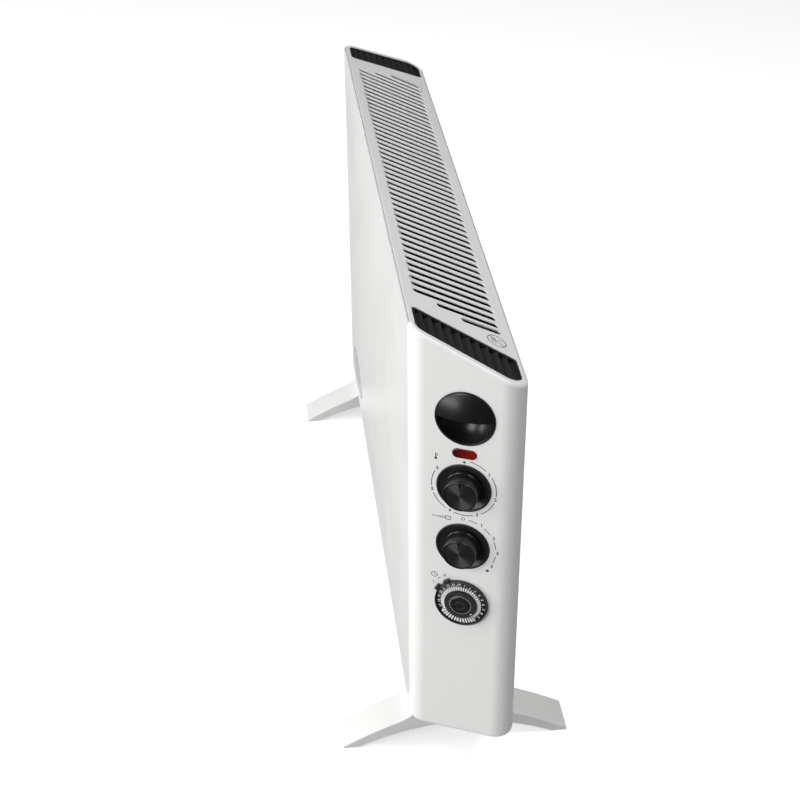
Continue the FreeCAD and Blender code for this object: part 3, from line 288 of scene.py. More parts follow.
finishes = {
    "casing_white": dict(colour=(0.80, 0.80, 0.79), patchAndShadeColour=(0.785, 0.785, 0.775), rough=(0.30, 0.36),
                         fineScale=420.0, bump=0.12, bumpDepth=0.0001),
    "moulded_white": dict(colour=(0.80, 0.80, 0.79), patchAndShadeColour=(0.785, 0.785, 0.775), rough=(0.34, 0.42),
                          fineScale=1500.0, bump=0.12, bumpDepth=0.00006),
    "black_plastic": dict(colour=(0.022, 0.022, 0.021), rough=(0.42, 0.5), fineScale=1800.0, bump=0.2),
    "black_gloss": dict(colour=(0.008, 0.008, 0.008), rough=(0.27, 0.31), bump=0.04),
    "dish_black": dict(colour=(0.010, 0.010, 0.010), rough=(0.3, 0.36), bump=0.1),
    "knob_black": dict(colour=(0.010, 0.010, 0.010), rough=(0.22, 0.28), bump=0.06),
    "dial_black": dict(colour=(0.012, 0.012, 0.012), rough=(0.32, 0.4), bump=0.1),
    # painted shade: the lens's near-black second colour is laid along y so that one side of it reads shaded
    "lens_red": dict(colour=(0.24, 0.003, 0.004), patchAndShadeColour=(0.012, 0.001, 0.001), rough=(0.08, 0.12),
                     bump=0.02, coat=0.6, paintedShadeSpan=(-0.013, 0.004)),
    "tappet_white": dict(colour=(0.90, 0.90, 0.88), rough=(0.38, 0.46), bump=0.1),
    "control_body": dict(colour=(0.05, 0.05, 0.05), rough=(0.5, 0.6), bump=0.3),
    "shaft_steel": dict(colour=(0.55, 0.55, 0.54), rough=(0.24, 0.34), metallic=1.0, bump=0.1),
    "pad_rubber": dict(colour=(0.03, 0.03, 0.03), rough=(0.75, 0.85), bump=0.5),
    "screw_steel": dict(colour=(0.56, 0.56, 0.53), rough=(0.26, 0.36), metallic=1.0, bump=0.15),
    "badge_metal": dict(colour=(0.66, 0.66, 0.66), rough=(0.34, 0.42), metallic=0.15, bump=0.1),
    "sheet_steel": dict(colour=(0.50, 0.51, 0.52), patchAndShadeColour=(0.36, 0.37, 0.39), rough=(0.32, 0.5),
                        metallic=1.0, broadScale=60.0, bump=0.2),
    "rod_steel": dict(colour=(0.36, 0.34, 0.32), patchAndShadeColour=(0.22, 0.20, 0.19), rough=(0.4, 0.55),
                      metallic=1.0, broadScale=40.0, bump=0.2),
    "wheel_aluminium": dict(colour=(0.70, 0.70, 0.71), rough=(0.3, 0.42), metallic=1.0, bump=0.1),
    # the parts inside the casing, seen through the roof slots, are near-black: partly their own black enamel,
    # partly painted shade for the dark inside of the casing
    "chamber_black": dict(colour=(0.010, 0.010, 0.010), rough=(0.7, 0.8), bump=0.3, specular=0.2),
    "ceramic": dict(colour=(0.72, 0.70, 0.65), rough=(0.6, 0.75), bump=0.4),
    "bush_bronze": dict(colour=(0.48, 0.33, 0.15), rough=(0.45, 0.6), metallic=1.0, bump=0.4),
    "motor_iron": dict(colour=(0.16, 0.16, 0.17), rough=(0.5, 0.62), metallic=0.7, bump=0.3),
    "winding": dict(colour=(0.50, 0.22, 0.08), rough=(0.3, 0.4), metallic=0.8, bump=0.3),
    "lead_sleeve": dict(colour=(0.45, 0.04, 0.03), rough=(0.5, 0.6), bump=0.2),
    "turnedDish": dict(colour=(0.021, 0.021, 0.021), rough=(0.30, 0.36), bump=0.25, bumpDepth=0.00004,
                       ringScale=2.2),
    "spunFace": dict(colour=(0.012, 0.012, 0.012), rough=(0.48, 0.52), metallic=0.0, bump=0.2,
                     bumpDepth=0.00002, ringScale=5.0, anisotropy=0.85, specular=0.9),
    "ringBlack": dict(colour=(0.030, 0.030, 0.030), rough=(0.42, 0.5), bump=0.2),
    "printInk": dict(colour=(0.025, 0.025, 0.025), rough=(0.5, 0.6), bump=0.1),
    "printGrey": dict(colour=(0.13, 0.13, 0.13), rough=(0.5, 0.6), bump=0.1),
    "printWhite": dict(colour=(0.80, 0.80, 0.78), rough=(0.5, 0.6), bump=0.1),
    "printPale": dict(colour=(0.05, 0.05, 0.05), rough=(0.5, 0.6), bump=0.1),
}
materials = {slot: makeFinish(slot, **values) for slot, values in finishes.items()}
slotOfNode = {row["node"]: row["material_slot"] for row in frame["record"]["subparts"]}
for name, node in nodes.items():
    node.data.materials.clear()
    node.data.materials.append(materials[slotOfNode[name]])
print("finishes made:", len(materials))


def setActive(piece):
    deselectAll()
    piece.select_set(True)
    bpy.context.view_layer.objects.active = piece


def enterEdit(kind="VERT"):
    scene.tool_settings.mesh_select_mode = (kind == "VERT", kind == "EDGE", kind == "FACE")
    bpy.ops.object.mode_set(mode="EDIT")


def editAll(piece):
    setActive(piece)
    enterEdit()
    bpy.ops.mesh.select_all(action="SELECT")


# leaves the piece in edit mode with only the faces that pass the test selected
def selectFaces(piece, test):
    setActive(piece)
    for part in (*piece.data.vertices, *piece.data.edges):
        part.select = False
    for face in piece.data.polygons:
        face.select = test(face)
    enterEdit("FACE")


def leaveEdit():
    bpy.ops.object.mode_set(mode="OBJECT")


def squareNormals(piece):
    editAll(piece)
    bpy.ops.mesh.normals_make_consistent(inside=False)
    leaveEdit()


def roundEdges(piece, width, segments=3, angle=30.0, weighted=False):
    bevel = piece.modifiers.new("roundedEdges", "BEVEL")
    bevel.width = width * mm
    bevel.segments = segments
    bevel.limit_method = "WEIGHT" if weighted else "ANGLE"
    bevel.angle_limit = math.radians(angle)
    bevel.use_clamp_overlap = False
    bevel.harden_normals = False
    setActive(piece)
    bpy.ops.object.modifier_apply(modifier=bevel.name)


def smoothShade(piece, angle=35.0):
    setActive(piece)
    bpy.ops.object.shade_smooth_by_angle(angle=math.radians(angle))


# flat faces stay flat beside their rounded edges
def weighNormals(piece):
    weigh = piece.modifiers.new("weighedNormals", "WEIGHTED_NORMAL")
    weigh.keep_sharp = True
    setActive(piece)
    bpy.ops.object.modifier_apply(modifier=weigh.name)


def joinPieces(pieces):
    deselectAll()
    for piece in pieces:
        piece.select_set(True)
    bpy.context.view_layer.objects.active = pieces[0]
    bpy.ops.object.join()
    return bpy.context.object


# a turned form: rings of (radius, height) in mm, each extruded from the one before
def turned(rings, sides=96, closed=False):
    deselectAll()
    radius, height = rings[0]
    bpy.ops.mesh.primitive_circle_add(vertices=sides, radius=radius * mm, location=(0, 0, height * mm),
                                      fill_type="NOTHING" if closed else "NGON")
    piece = bpy.context.object
    bpy.ops.object.transform_apply(location=True, rotation=True, scale=True)
    enterEdit()
    bpy.ops.mesh.select_all(action="SELECT")
    for nextRadius, nextHeight in list(rings[1:]) + ([rings[0]] if closed else []):
        bpy.ops.mesh.extrude_region_move(
            TRANSFORM_OT_translate={"value": (0, 0, (nextHeight - height) * mm)})
        grow = nextRadius / radius
        bpy.ops.transform.resize(value=(grow, grow, 1.0), center_override=(0, 0, nextHeight * mm))
        radius, height = nextRadius, nextHeight
    bpy.ops.mesh.select_all(action="SELECT")
    if closed:
        bpy.ops.mesh.remove_doubles(threshold=0.002 * mm)
    bpy.ops.mesh.normals_make_consistent(inside=False)
    leaveEdit()
    return piece


# turning marks follow the piece's own map: u goes round the axis, v counts mm out from it
def turningMap(piece):
    mesh = piece.data
    while mesh.uv_layers:
        mesh.uv_layers.remove(mesh.uv_layers[0])
    layer = mesh.uv_layers.new(name="turning")
    for face in mesh.polygons:
        places = []
        for loop in face.loop_indices:
            x, y, z = mesh.vertices[mesh.loops[loop].vertex_index].co
            places.append((loop, math.atan2(y, x) / (2 * math.pi) + 0.5, (math.hypot(x, y) - z) / mm))
        wraps = max(p[1] for p in places) - min(p[1] for p in places) > 0.5
        for loop, turn, reach in places:
            layer.data[loop].uv = (turn + (1.0 if wraps and turn < 0.5 else 0.0), reach)


# the end face: local x to the rear, y up, z outwards, about each control's own axis
jointRows = {row["name"]: row for row in frame["joints"]}
faceOut = -Vector(jointRows["thermostat_turn"]["axis"])
faceAcross = Vector((-faceOut.y, faceOut.x, 0.0))
faceX, faceY, _ = jointRows["thermostat_turn"]["pos_m"]
columnZ = {
    "grip": sum(corner[2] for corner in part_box("hand_grip_control")) / 2,
    "thermostat": jointRows["thermostat_turn"]["pos_m"][2],
    "selector": jointRows["selector_turn"]["pos_m"][2],
    "timer": jointRows["timer_dial_turn"]["pos_m"][2],
}


def faceMatrix(height):
    matrix = Matrix((faceAcross, Vector((0, 0, 1)), faceOut)).transposed().to_4x4()
    matrix.translation = Vector((faceX, faceY, height))
    return matrix


def placeOnFace(piece, height):
    setActive(piece)
    piece.matrix_world = faceMatrix(height)
    bpy.ops.object.transform_apply(location=True, rotation=True, scale=True)


def finishPiece(piece, name, body, replaced=(), finish=None):
    piece.name = name
    piece.data.name = name
    if finish:
        piece.data.materials.clear()
        piece.data.materials.append(materials[finish])
    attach(piece, body)
    if replaced:
        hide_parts(*replaced)
    return piece


# the same piece at the other end, with its own mesh
def mirroredCopy(piece):
    other = bpy.data.objects.new(piece.name + "Plain", piece.data.copy())
    scene.collection.objects.link(other)
    other.data.transform(Matrix.Scale(-1.0, 4, (1.0, 0.0, 0.0)))
    squareNormals(other)
    return other


# a copy of a frame node, merged and made of whole faces, ready for rounded edges
def wholeCopy(node):
    piece = bpy.data.objects.new(node, nodes[node].data.copy())
    scene.collection.objects.link(piece)
    editAll(piece)
    bpy.ops.mesh.remove_doubles(threshold=0.003 * mm)
    bpy.ops.mesh.dissolve_limited(angle_limit=math.radians(0.6))
    bpy.ops.mesh.normals_make_consistent(inside=False)
    leaveEdit()
    return piece


# printed marks, laid flat on a surface; angles run clockwise from the top
printDepth = 0.04  # mm


def clockPoint(radius, angle):
    return radius * math.sin(math.radians(angle)), radius * math.cos(math.radians(angle))


def thicken(piece, depth=printDepth):
    solid = piece.modifiers.new("ink", "SOLIDIFY")
    solid.thickness = depth * mm
    solid.offset = 1.0
    setActive(piece)
    bpy.ops.object.modifier_apply(modifier=solid.name)
    return piece


def arcMark(radius, start, end, width, x=0.0, y=0.0, z=0.0, sides=120):
    deselectAll()
    bpy.ops.mesh.primitive_circle_add(vertices=sides, radius=(radius + width / 2) * mm, fill_type="NOTHING")
    piece = bpy.context.object
    enterEdit()
    bpy.ops.mesh.select_all(action="SELECT")
    bpy.ops.mesh.extrude_region_move(TRANSFORM_OT_translate={"value": (0, 0, 0)})
    shrink = (radius - width / 2) / (radius + width / 2)
    bpy.ops.transform.resize(value=(shrink, shrink, 1.0), center_override=(0, 0, 0))
    bpy.ops.mesh.select_all(action="DESELECT")
    leaveEdit()
    if end - start < 360:
        selectFaces(piece, lambda face: (math.degrees(math.atan2(face.center.x, face.center.y)) - start)
                    % 360 > end - start)
        bpy.ops.mesh.delete(type="FACE")
        leaveEdit()
    editAll(piece)
    bpy.ops.mesh.normals_make_consistent(inside=False)
    leaveEdit()
    faceUp(piece)
    thicken(piece)
    piece.location = (x * mm, y * mm, z * mm)
    return piece


def faceUp(piece):
    if piece.data.polygons[0].normal.z < 0:
        editAll(piece)
        bpy.ops.mesh.flip_normals()
        leaveEdit()


def barMark(x, y, width, height, turn=0.0, z=0.0):
    deselectAll()
    bpy.ops.mesh.primitive_plane_add(size=1.0, location=(x * mm, y * mm, z * mm),
                                     rotation=(0, 0, math.radians(-turn)))
    piece = bpy.context.object
    piece.scale = (width * mm, height * mm, 1.0)
    bpy.ops.object.transform_apply(location=False, rotation=False, scale=True)
    return thicken(piece)


def discMark(x, y, radius, z=0.0, sides=12, turn=0.0):
    deselectAll()
    bpy.ops.mesh.primitive_circle_add(vertices=sides, radius=radius * mm, fill_type="NGON",
                                      location=(x * mm, y * mm, z * mm), rotation=(0, 0, math.radians(-turn)))
    piece = bpy.context.object
    faceUp(piece)
    return thicken(piece)


def digitMark(text, x, y, size, turn=0.0, z=0.0):
    deselectAll()
    bpy.ops.object.text_add(location=(x * mm, y * mm, z * mm), rotation=(0, 0, math.radians(-turn)))
    label = bpy.context.object
    label.data.body = text
    label.data.size = size * mm
    label.data.align_x = "CENTER"
    label.data.align_y = "CENTER"
    label.data.resolution_u = 3
    label.data.offset = size * 0.025 * mm
    label.data.extrude = printDepth / 2 * mm
    bpy.ops.object.convert(target="MESH")
    return bpy.context.object


def printOn(parts, name, height, body="casing", finish="printInk"):
    piece = joinPieces(parts)
    bpy.ops.object.transform_apply(location=True, rotation=True, scale=True)
    placeOnFace(piece, height)
    return finishPiece(piece, name, body, finish=finish)


# roof moulding: rounded slot edges over a dark interior
roof = {
    "edgeRound": 0.95, "slotsFromVent": 12.0, "slotsFromEdge": 7.0, "flatBand": 0.02,
    "symbolRadius": 8.0, "symbolPlace": (277.5, 27.8), "symbolWidth": 0.85,
}


def buildRoofGrille():
    piece = wholeCopy("roof_grille")
    mesh = piece.data
    top = [f for f in mesh.polygons if f.normal.z > 0.8]  # the flat of the roof is the largest
    biggest = max(top, key=lambda f: f.area)
    normal, centre = biggest.normal.copy(), biggest.center.copy()
    weights = mesh.attributes.new("bevel_weight_edge", "FLOAT", "EDGE")
    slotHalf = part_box("vent_insert_control")[0][0] - roof["slotsFromVent"] * mm
    yLow, yHigh = (corner[1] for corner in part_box("roof_grille"))
    yLow, yHigh = yLow + roof["slotsFromEdge"] * mm, yHigh - roof["slotsFromEdge"] * mm
    for edge in mesh.edges:
        a, b = (mesh.vertices[i].co for i in edge.vertices)
        onTop = all(abs((p - centre).dot(normal)) < roof["flatBand"] * mm for p in (a, b))
        inside = all(abs(p.x) < slotHalf and yLow < p.y < yHigh for p in (a, b))
        weights.data[edge.index].value = 1.0 if onTop and inside else 0.0
    roundEdges(piece, roof["edgeRound"], segments=4, weighted=True)
    smoothShade(piece, 40)
    weighNormals(piece)
    finishPiece(piece, "roofGrille", "casing", ["roof_grille"], "moulded_white")
    return normal, centre


roofNormal, roofCentre = buildRoofGrille()


def roofMatrix(x, y):
    across = Vector((1, 0, 0))
    up = roofNormal.cross(across).normalized()
    matrix = Matrix((across, up, roofNormal)).transposed().to_4x4()
    z = roofCentre.z - ((x - roofCentre.x) * roofNormal.x + (y - roofCentre.y) * roofNormal.y) / roofNormal.z
    matrix.translation = Vector((x, y, z))
    return matrix


# the sign that says not to cover the roof: a ring, a bar across it and a small heater
def buildCoverSign():
    r, w = roof["symbolRadius"], roof["symbolWidth"]
    parts = [arcMark(r, 0, 360, w), barMark(0, 0, w, 2 * r - w, turn=45)]
    parts += [arcMark(2.6, 200, 340, 0.5, y=3.6), barMark(0, -1.2, 8.0, 0.5), barMark(0, -4.2, 8.0, 0.5)]
    parts += [barMark(x, -2.7, 0.5, 3.0) for x in (-4.0, -1.3, 1.3, 4.0)]
    piece = joinPieces(parts)
    bpy.ops.object.transform_apply(location=True, rotation=True, scale=True)
    piece.matrix_world = roofMatrix(*(v * mm for v in roof["symbolPlace"]))
    bpy.ops.object.transform_apply(location=True, rotation=True, scale=True)
    finishPiece(piece, "coverSign", "casing", finish="printGrey")


buildCoverSign()
print("roof built")

# pieces whose shape comes from the frame and whose edges are rounded here
softEdges = {  # node: new piece, edge radius, segments, smallest angle that counts as an edge
    "vent_insert_control": ("ventInsertControl", 0.3, 2, 28),
    "vent_insert_plain": ("ventInsertPlain", 0.3, 2, 28),
    "foot_control": ("footControl", 0.6, 3, 28),
    "foot_plain": ("footPlain", 0.6, 3, 28),
    "front_badge": ("frontBadge", 0.15, 2, 40),
    "cord_gland": ("cordGland", 0.4, 2, 40),
}
for node, (title, radius, segments, angle) in softEdges.items():
    piece = wholeCopy(node)
    roundEdges(piece, radius, segments, angle)
    smoothShade(piece, 40)
    weighNormals(piece)
    slotName = slotOfNode[node]
    finishPiece(piece, title, "casing", [node], slotName)
print("soft edges done")

# hand grips: a cup in the end face with a domed hood over its upper half
grip = {
    "rim": 24.2, "rimHeight": 0.9, "mouth": 22.1, "cup": 22.9, "depth": 15.0, "wall": 0.8,
    "hoodReach": 23.3, "hoodHeight": 5.0, "hoodWall": 1.8, "hoodEdge": 0.2, "hoodFoot": 0.3,
}


def sphereDepth(radius, mouth, depth):
    ball = (mouth ** 2 + depth ** 2) / (2 * depth)
    return ball - depth - math.sqrt(ball ** 2 - radius ** 2)


def buildHandGrip():
    g = grip
    outer = [(r, sphereDepth(r, g["cup"], g["depth"] + g["wall"]))
             for r in (0.3, 5, 10, 14, 17, 19.5, 21.5, 22.6)]
    rim = [(g["cup"], -0.6), (g["cup"], 0), (g["rim"], 0), (g["rim"], 0.45), (g["rim"] - 0.12, 0.72),
           (g["rim"] - 0.4, 0.88), (g["rim"] - 0.8, g["rimHeight"]), (g["mouth"] + 0.4, g["rimHeight"]),
           (g["mouth"] + 0.12, 0.75), (g["mouth"], 0.4)]
    inner = [(r, sphereDepth(r, g["mouth"], g["depth"]))
             for r in (22.0, 21.5, 20.7, 19.6, 18.2, 16.4, 14, 11.4, 8.7, 6, 3, 0.3)]
    cup = turned(outer + rim + inner)
    smoothShade(cup, 40)
    ball = (g["hoodReach"] ** 2 + g["hoodHeight"] ** 2) / (2 * g["hoodHeight"])
    middle = g["rimHeight"] + g["hoodHeight"] - ball
    steps = [0.3, 4, 8, 11, 14, 16.5, 18.5, 20.2, 21.9, g["hoodReach"]]
    under = [(r, max(g["hoodFoot"], middle + math.sqrt((ball - g["hoodWall"]) ** 2 - r ** 2))) for r in steps]
    over = [(r, middle + math.sqrt(ball ** 2 - r ** 2)) for r in reversed(steps)]
    hood = turned(under + over)
    editAll(hood)
    bpy.ops.mesh.bisect(plane_co=(0, g["hoodEdge"] * mm, 0), plane_no=(0, 1, 0), use_fill=True,
                        clear_inner=True)
    bpy.ops.mesh.select_all(action="SELECT")
    bpy.ops.mesh.normals_make_consistent(inside=False)
    leaveEdit()
    roundEdges(hood, 0.35, 3, 40)
    smoothShade(hood, 40)
    piece = joinPieces([cup, hood])
    placeOnFace(piece, columnZ["grip"])
    finishPiece(piece, "handGripControl", "casing", ["hand_grip_control"], "black_gloss")
    other = mirroredCopy(piece)
    finishPiece(other, "handGripPlain", "casing", ["hand_grip_plain"], "black_gloss")


buildHandGrip()
print("hand grips built")

# rotary controls: a shallow dish and a knob with a turned face
dish = {
    "rim": 22.45, "rimHeight": 0.9, "body": 21.0, "mouth": 20.6, "bowlDepth": 4.5, "back": -6.5, "bore": 5.3,
}
knob = {
    "rings": [(15.2, -1.55), (15.2, 0.5), (15.1, 0.8), (14.85, 1.05), (14.6, 1.4), (14.42, 2.0), (14.3, 2.8),
              (13.64, 12.1), (13.56, 12.45), (13.36, 12.7), (13.06, 12.8), (12.62, 12.8), (12.42, 12.72),
              (12.3, 12.5), (12.25, 12.22), (12.0, 12.2), (9.0, 12.2), (6.0, 12.2),
              (3.0, 12.2), (0.25, 12.2)],
    "faceHeight": 12.2, "cutterHeight": 2.0, "cutterFrom": 0.9, "pointerTaper": 0.4, "faceBand": 0.02,
    "pointerFrom": 12.1, "pointerTo": 4.6, "pointerWidth": 2.4, "pointerSink": 1.1,
}


def buildDish(name, height, node):
    d = dish
    outside = [(d["bore"], d["back"]), (d["body"], d["back"]), (d["body"], 0), (d["rim"], 0), (d["rim"], 0.4),
               (d["rim"] - 0.14, 0.7), (d["rim"] - 0.45, 0.86), (d["rim"] - 0.8, d["rimHeight"]),
               (d["mouth"] + 0.4, d["rimHeight"]), (d["mouth"] + 0.1, 0.75), (d["mouth"], 0.4),
               (d["mouth"], 0.05)]
    bowl = [(r, sphereDepth(r, d["mouth"], d["bowlDepth"]))
            for r in (20.2, 19.2, 17.6, 15.8, 13.8, 11.6, 9.4, 7.2)]
    foot = (d["bore"], sphereDepth(d["bore"], d["mouth"], d["bowlDepth"]))
    piece = turned(outside + bowl + [foot], 128, True)
    turningMap(piece)
    smoothShade(piece, 38)
    placeOnFace(piece, height)
    finishPiece(piece, name, "casing", [node], "turnedDish")


def buildKnob(name, height, body, node):
    k = knob
    piece = turned(k["rings"], 128)
    deselectAll()
    place = (0, (k["pointerFrom"] - k["pointerWidth"] / 2) * mm,
             (k["faceHeight"] - k["pointerSink"] + k["cutterHeight"] / 2) * mm)
    bpy.ops.mesh.primitive_cylinder_add(vertices=24, radius=k["pointerWidth"] / 2 * mm,
                                        depth=k["cutterHeight"] * mm, location=place)
    notch = bpy.context.object
    bpy.ops.object.transform_apply(location=True, rotation=True, scale=True)
    wide = (k["pointerFrom"] - k["pointerWidth"] / 2) * mm
    for vertex in notch.data.vertices:
        vertex.select = vertex.co.y < wide - k["cutterFrom"] * k["pointerWidth"] / 2 * mm
    for part in (*notch.data.edges, *notch.data.polygons):
        part.select = False
    enterEdit()
    bpy.ops.transform.translate(value=(0, (k["pointerTo"] - wide / mm + k["pointerWidth"] / 2) * mm, 0))
    bpy.ops.transform.resize(value=(k["pointerTaper"], 1, 1), center_override=(0, 0, 0))
    leaveEdit()
    cut = piece.modifiers.new("pointer", "BOOLEAN")
    cut.operation = "DIFFERENCE"
    cut.solver = "EXACT"
    cut.object = notch
    setActive(piece)
    bpy.ops.object.modifier_apply(modifier=cut.name)
    bpy.data.objects.remove(notch)
    turningMap(piece)
    piece.data.materials.clear()
    for finish in ("knob_black", "spunFace"):
        piece.data.materials.append(materials[finish])
    for face in piece.data.polygons:
        onFace = abs(face.center.z - k["faceHeight"] * mm) < k["faceBand"] * mm and face.normal.z > 0.99
        face.material_index = 1 if onFace else 0
    smoothShade(piece, 38)
    placeOnFace(piece, height)
    finishPiece(piece, name, body, [node])


for control, joint in (("thermostat", "thermostat_turn"), ("selector", "selector_turn")):
    buildDish(control + "Dish", columnZ[control], control + "_dish")
    buildKnob(control + "Knob", columnZ[control], jointRows[joint]["child"], control + "_knob")
print("rotary controls built")

# timer
timer = {
    "ring": [(22.3, -2.2), (22.3, 3.0), (22.2, 3.3), (21.95, 3.48), (21.7, 3.5), (21.5, 3.42), (21.35, 3.2),
             (21.3, 2.8), (21.3, -1.3), (17.0, -1.3), (17.0, -2.2)],
    "lugAngle": -45.0, "lugSpread": 13.0, "lugWidth": 5.2, "lugReach": 25.3, "lugHeight": 3.5,
    "dial": [(20.9, -1.0), (20.9, 1.38), (20.8, 1.5), (20.55, 1.5), (20.4, 1.35), (20.3, 1.2), (17.4, 1.2),
             (12.0, 1.2), (3.05, 1.2), (3.05, -1.0)],
    "centre": [(3.0, -2.8), (3.0, 2.95), (13.6, 2.95), (13.8, 3.1), (13.8, 4.0), (13.7, 4.25), (13.4, 4.35),
               (9.6, 4.35), (9.4, 4.5), (8.6, 4.55), (8.4, 4.75), (8.2, 5.3), (7.9, 5.5), (7.4, 5.55),
               (6.2, 5.5), (3.0, 5.6), (0.3, 5.62)],
    "ribFrom": 9.6, "ribTo": 13.4, "ribHeight": 0.5, "ribs": 48,
    "dots": 36, "dotRadius": 9.0, "dotSize": 0.36,
    "numerals": 24, "numeralRadius": 18.9, "numeralSize": 3.3, "tickRadius": 17.75,
    "tappets": 48, "tappetIn": 10.2, "tappetNeck": 4.0, "tappetHead": 2.9, "tappetTravel": 3.1,
    "tappetWidth": 1.25, "neckWidth": 0.8, "tappetLow": 1.25, "tappetHigh": 2.7,
    "setFrom": 214.0, "setTo": 310.0, "loose": (10, 12, 14, 16),
}


def buildModeRing():
    t = timer
    ring = turned(t["ring"], 128, True)
    parts = [ring]
    for side in (-1, 1):
        angle = t["lugAngle"] + side * t["lugSpread"]
        middle = (t["lugReach"] + 21.8) / 2
        x, y = clockPoint(middle, angle)
        deselectAll()
        bpy.ops.mesh.primitive_cube_add(size=1.0, location=(x * mm, y * mm, (0.3 + t["lugHeight"]) / 2 * mm),
                                        rotation=(0, 0, math.radians(-angle)))
        lug = bpy.context.object
        lug.scale = (t["lugWidth"] * mm, (t["lugReach"] - 21.8) * mm, (t["lugHeight"] - 0.3) * mm)
        bpy.ops.object.transform_apply(location=True, rotation=True, scale=True)
        roundEdges(lug, 0.6, 3, 60)
        parts.append(lug)
    piece = joinPieces(parts)
    turningMap(piece)
    smoothShade(piece, 40)
    placeOnFace(piece, columnZ["timer"])
    finishPiece(piece, "timerModeRing", "timer_mode", ["timer_mode_ring"], "ringBlack")


def buildDial():
    t = timer
    piece = turned(t["dial"], 96, True)
    turningMap(piece)
    smoothShade(piece, 40)
    placeOnFace(piece, columnZ["timer"])
    finishPiece(piece, "timerDial", "timer_wheel", ["timer_dial"], "dial_black")
    marks = []
    for hour in range(t["numerals"]):
        angle = 360.0 * hour / t["numerals"] + 8.0
        x, y = clockPoint(t["numeralRadius"], angle)
        marks.append(digitMark(str(hour + 1), x, y, t["numeralSize"], angle, 1.22))
        x, y = clockPoint(t["tickRadius"], angle + 7.5)
        marks.append(barMark(x, y, 0.28, 0.9, angle + 7.5, 1.22))
    printOn(marks, "timerNumerals", columnZ["timer"], "timer_wheel", "printWhite")


def tappetAt(index, out):
    t = timer
    start = t["tappetIn"] + (t["tappetTravel"] if out else 0.0)
    mid = (t["tappetLow"] + t["tappetHigh"]) / 2
    copy = bpy.data.objects.new("tappet", tappetModel.data.copy())
    scene.collection.objects.link(copy)
    copy.data.transform(Matrix.Translation((start * mm, 0, mid * mm)))
    copy.data.transform(Matrix.Rotation(math.radians(360.0 * index / t["tappets"]), 4, "Z"))
    return copy


def buildTappetModel():
    t = timer
    high = t["tappetHigh"] - t["tappetLow"]
    parts = []
    for start, length, width in ((0.0, t["tappetNeck"] + 0.1, t["neckWidth"]),
                                 (t["tappetNeck"], t["tappetHead"], t["tappetWidth"])):
        deselectAll()
        bpy.ops.mesh.primitive_cube_add(size=1.0, location=((start + length / 2) * mm, 0, 0))
        part = bpy.context.object
        part.scale = (length * mm, width * mm, (high - 0.1) * mm)
        bpy.ops.object.transform_apply(location=True, rotation=True, scale=True)
        parts.append(part)
    head = parts[1]
    selectFaces(head, lambda face: face.normal.x > 0.9)
    bpy.ops.transform.resize(value=(1, 1, 0.75),
                             center_override=((t["tappetNeck"] + 1) * mm, 0, -high / 2 * mm))
    leaveEdit()
    roundEdges(head, 0.09, 1, 60)
    return joinPieces(parts)


tappetModel = buildTappetModel()


def buildTappets():
    t = timer
    outOf = {i: t["setFrom"] <= 360.0 * i / t["tappets"] <= t["setTo"] for i in range(t["tappets"])}
    for isOut, title, node in ((True, "timerTappetsSet", "timer_tappets_set"),
                               (False, "timerTappetsClear", "timer_tappets_clear")):
        copies = [tappetAt(i, isOut) for i in outOf if outOf[i] == isOut and i not in t["loose"]]
        piece = joinPieces(copies)
        placeOnFace(piece, columnZ["timer"])
        finishPiece(piece, title, "timer_wheel", [node], "tappet_white")
    for number, index in enumerate(t["loose"], 1):
        piece = tappetAt(index, outOf[index])
        placeOnFace(piece, columnZ["timer"])
        finishPiece(piece, "timerTappet%d" % number, "tappet_%d" % number,
                    ["timer_tappet_%d" % number], "tappet_white")
    bpy.data.objects.remove(tappetModel)


def buildTimerCentre():
    t = timer
    piece = turned(t["centre"], 2 * t["ribs"])

    def isRib(face):
        reach = math.hypot(face.center.x, face.center.y) / mm
        turn = (math.degrees(math.atan2(face.center.y, face.center.x)) % 360) * t["ribs"] / 360
        return t["ribFrom"] + 0.2 < reach < t["ribTo"] - 0.2 and face.normal.z > 0.9 and turn % 1 < 0.5

    selectFaces(piece, isRib)
    bpy.ops.mesh.extrude_region_move(TRANSFORM_OT_translate={"value": (0, 0, t["ribHeight"] * mm)})
    leaveEdit()
    turningMap(piece)
    smoothShade(piece, 40)
    piece.data.materials.clear()
    for finish in ("dial_black", "printPale"):
        piece.data.materials.append(materials[finish])
    for face in piece.data.polygons:
        reach = math.hypot(face.center.x, face.center.y) / mm
        onRib = face.center.z > 4.7 * mm and reach > t["ribFrom"]
        face.material_index = 1 if onRib else 0
    placeOnFace(piece, columnZ["timer"])
    finishPiece(piece, "timerCentre", "casing", ["timer_centre"])
    dots = []
    for i in range(t["dots"]):
        x, y = clockPoint(t["dotRadius"], 360.0 * i / t["dots"])
        dots.append(discMark(x, y, t["dotSize"], 4.53, 8))
    x, y = clockPoint(12.0, 128)
    dots.append(discMark(x, y, 1.1, 4.82, 3, 128))
    printOn(dots, "timerDots", columnZ["timer"], "casing", "printWhite")
    x, y = clockPoint(3.8, 200)
    arrow = [arcMark(3.8, -90, 190, 0.8, z=5.62), discMark(x, y, 1.3, 5.62, 3, 290)]
    printOn(arrow, "timerArrow", columnZ["timer"], "casing", "printPale")


buildModeRing()
buildDial()
buildTappets()
buildTimerCentre()
print("timer built")

# printed scales round the controls
scales = {
    "line": 0.6, "digit": 4.3,
    "thermostatRadius": 26.4, "topMark": 24.8,
    "thermostatMarks": [0, 50, 103, 155, 205, 257, 305],
    "selectorRadius": 27.6, "selectorMarks": [0, 32, 62, 92, 122],
}


def snowMark(x, y, size):
    return [barMark(x, y, scales["line"], size, turn) for turn in (0, 60, 120)]


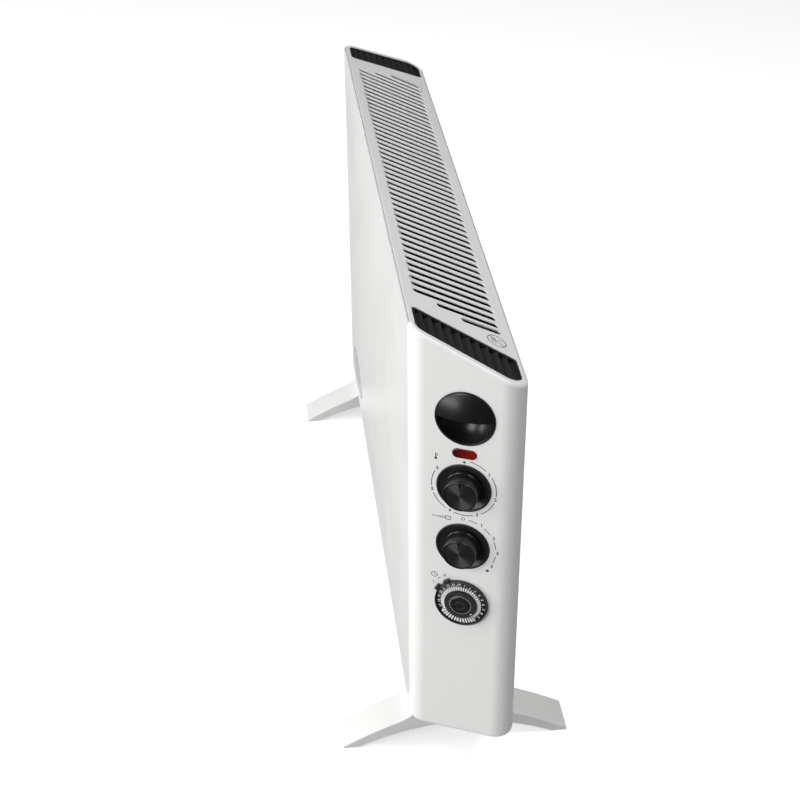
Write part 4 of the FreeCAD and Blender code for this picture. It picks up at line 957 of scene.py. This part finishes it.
def buildThermostatScale():
    s = scales
    r = s["thermostatRadius"]
    parts = snowMark(0, s["topMark"], 2.4)
    marks = s["thermostatMarks"]
    for number, angle in enumerate(marks[1:], 1):
        x, y = clockPoint(r, angle)
        parts.append(digitMark(str(number), x, y, s["digit"]))
    for start, end in zip(marks, marks[1:]):
        parts.append(arcMark(r, start + 8, end - 7, s["line"]))
    # a small thermometer
    x, y = -23.0, 26.5
    parts += [discMark(x, y - 2.2, 1.1), barMark(x, y + 0.4, 0.9, 4.4)]
    parts += [barMark(x + 1.5, y + step, 1.2, 0.3) for step in (0.2, 1.2, 2.2)]
    printOn(parts, "thermostatScale", columnZ["thermostat"])


def buildSelectorScale():
    s = scales
    r = s["selectorRadius"]
    marks = s["selectorMarks"]
    parts = [arcMark(1.25, 0, 360, 0.42, y=r, sides=24)]
    for text, angle in zip("1233", marks[1:]):
        x, y = clockPoint(r + 1.2, angle)
        parts.append(digitMark(text, x, y, s["digit"]))
    for start, end in zip(marks, marks[1:]):
        parts.append(arcMark(r, start + 8, end - 7, s["line"]))
    # a small heater
    x, y = -18.5, 26.0
    w = 0.55
    parts += [barMark(x - 5.0, y, 5.4, w)]
    parts += [barMark(x - 1.4 + 1.4 * i, y, w, 2.4) for i in range(4)]
    parts += [barMark(x + 6.0, y + 1.5, 4.0, w), barMark(x + 6.0, y - 1.5, 4.0, w),
              barMark(x + 8.0, y, w, 3.5), barMark(x + 4.0, y, w, 3.5)]
    fx, fy = clockPoint(r + 1.6, marks[-1] + 12)
    parts += [barMark(fx, fy, 0.7, 3.0, turn) for turn in (0, 60, 120)] + [discMark(fx, fy, 0.6)]
    printOn(parts, "selectorScale", columnZ["selector"])


def buildTimerMarks():
    x, y = clockPoint(31.0, -45)
    parts = [arcMark(2.5, 0, 360, 0.5, x=x - 1.5, y=y + 2.0, sides=36),
             barMark(x - 1.5, y + 2.9, 0.5, 1.8), barMark(x - 0.9, y + 1.9, 1.4, 0.5)]
    parts.append(barMark(x + 2.6, y - 1.2, 0.55, 3.4, 38))
    for text, angle, reach in (("1", -57, 28.6), ("0", -31, 28.6)):
        mx, my = clockPoint(reach, angle)
        parts.append(digitMark(text, mx, my, 3.6))
    printOn(parts, "timerMarks", columnZ["timer"])


buildThermostatScale()
buildSelectorScale()
buildTimerMarks()
print("scales printed")

bpy.context.view_layer.update()
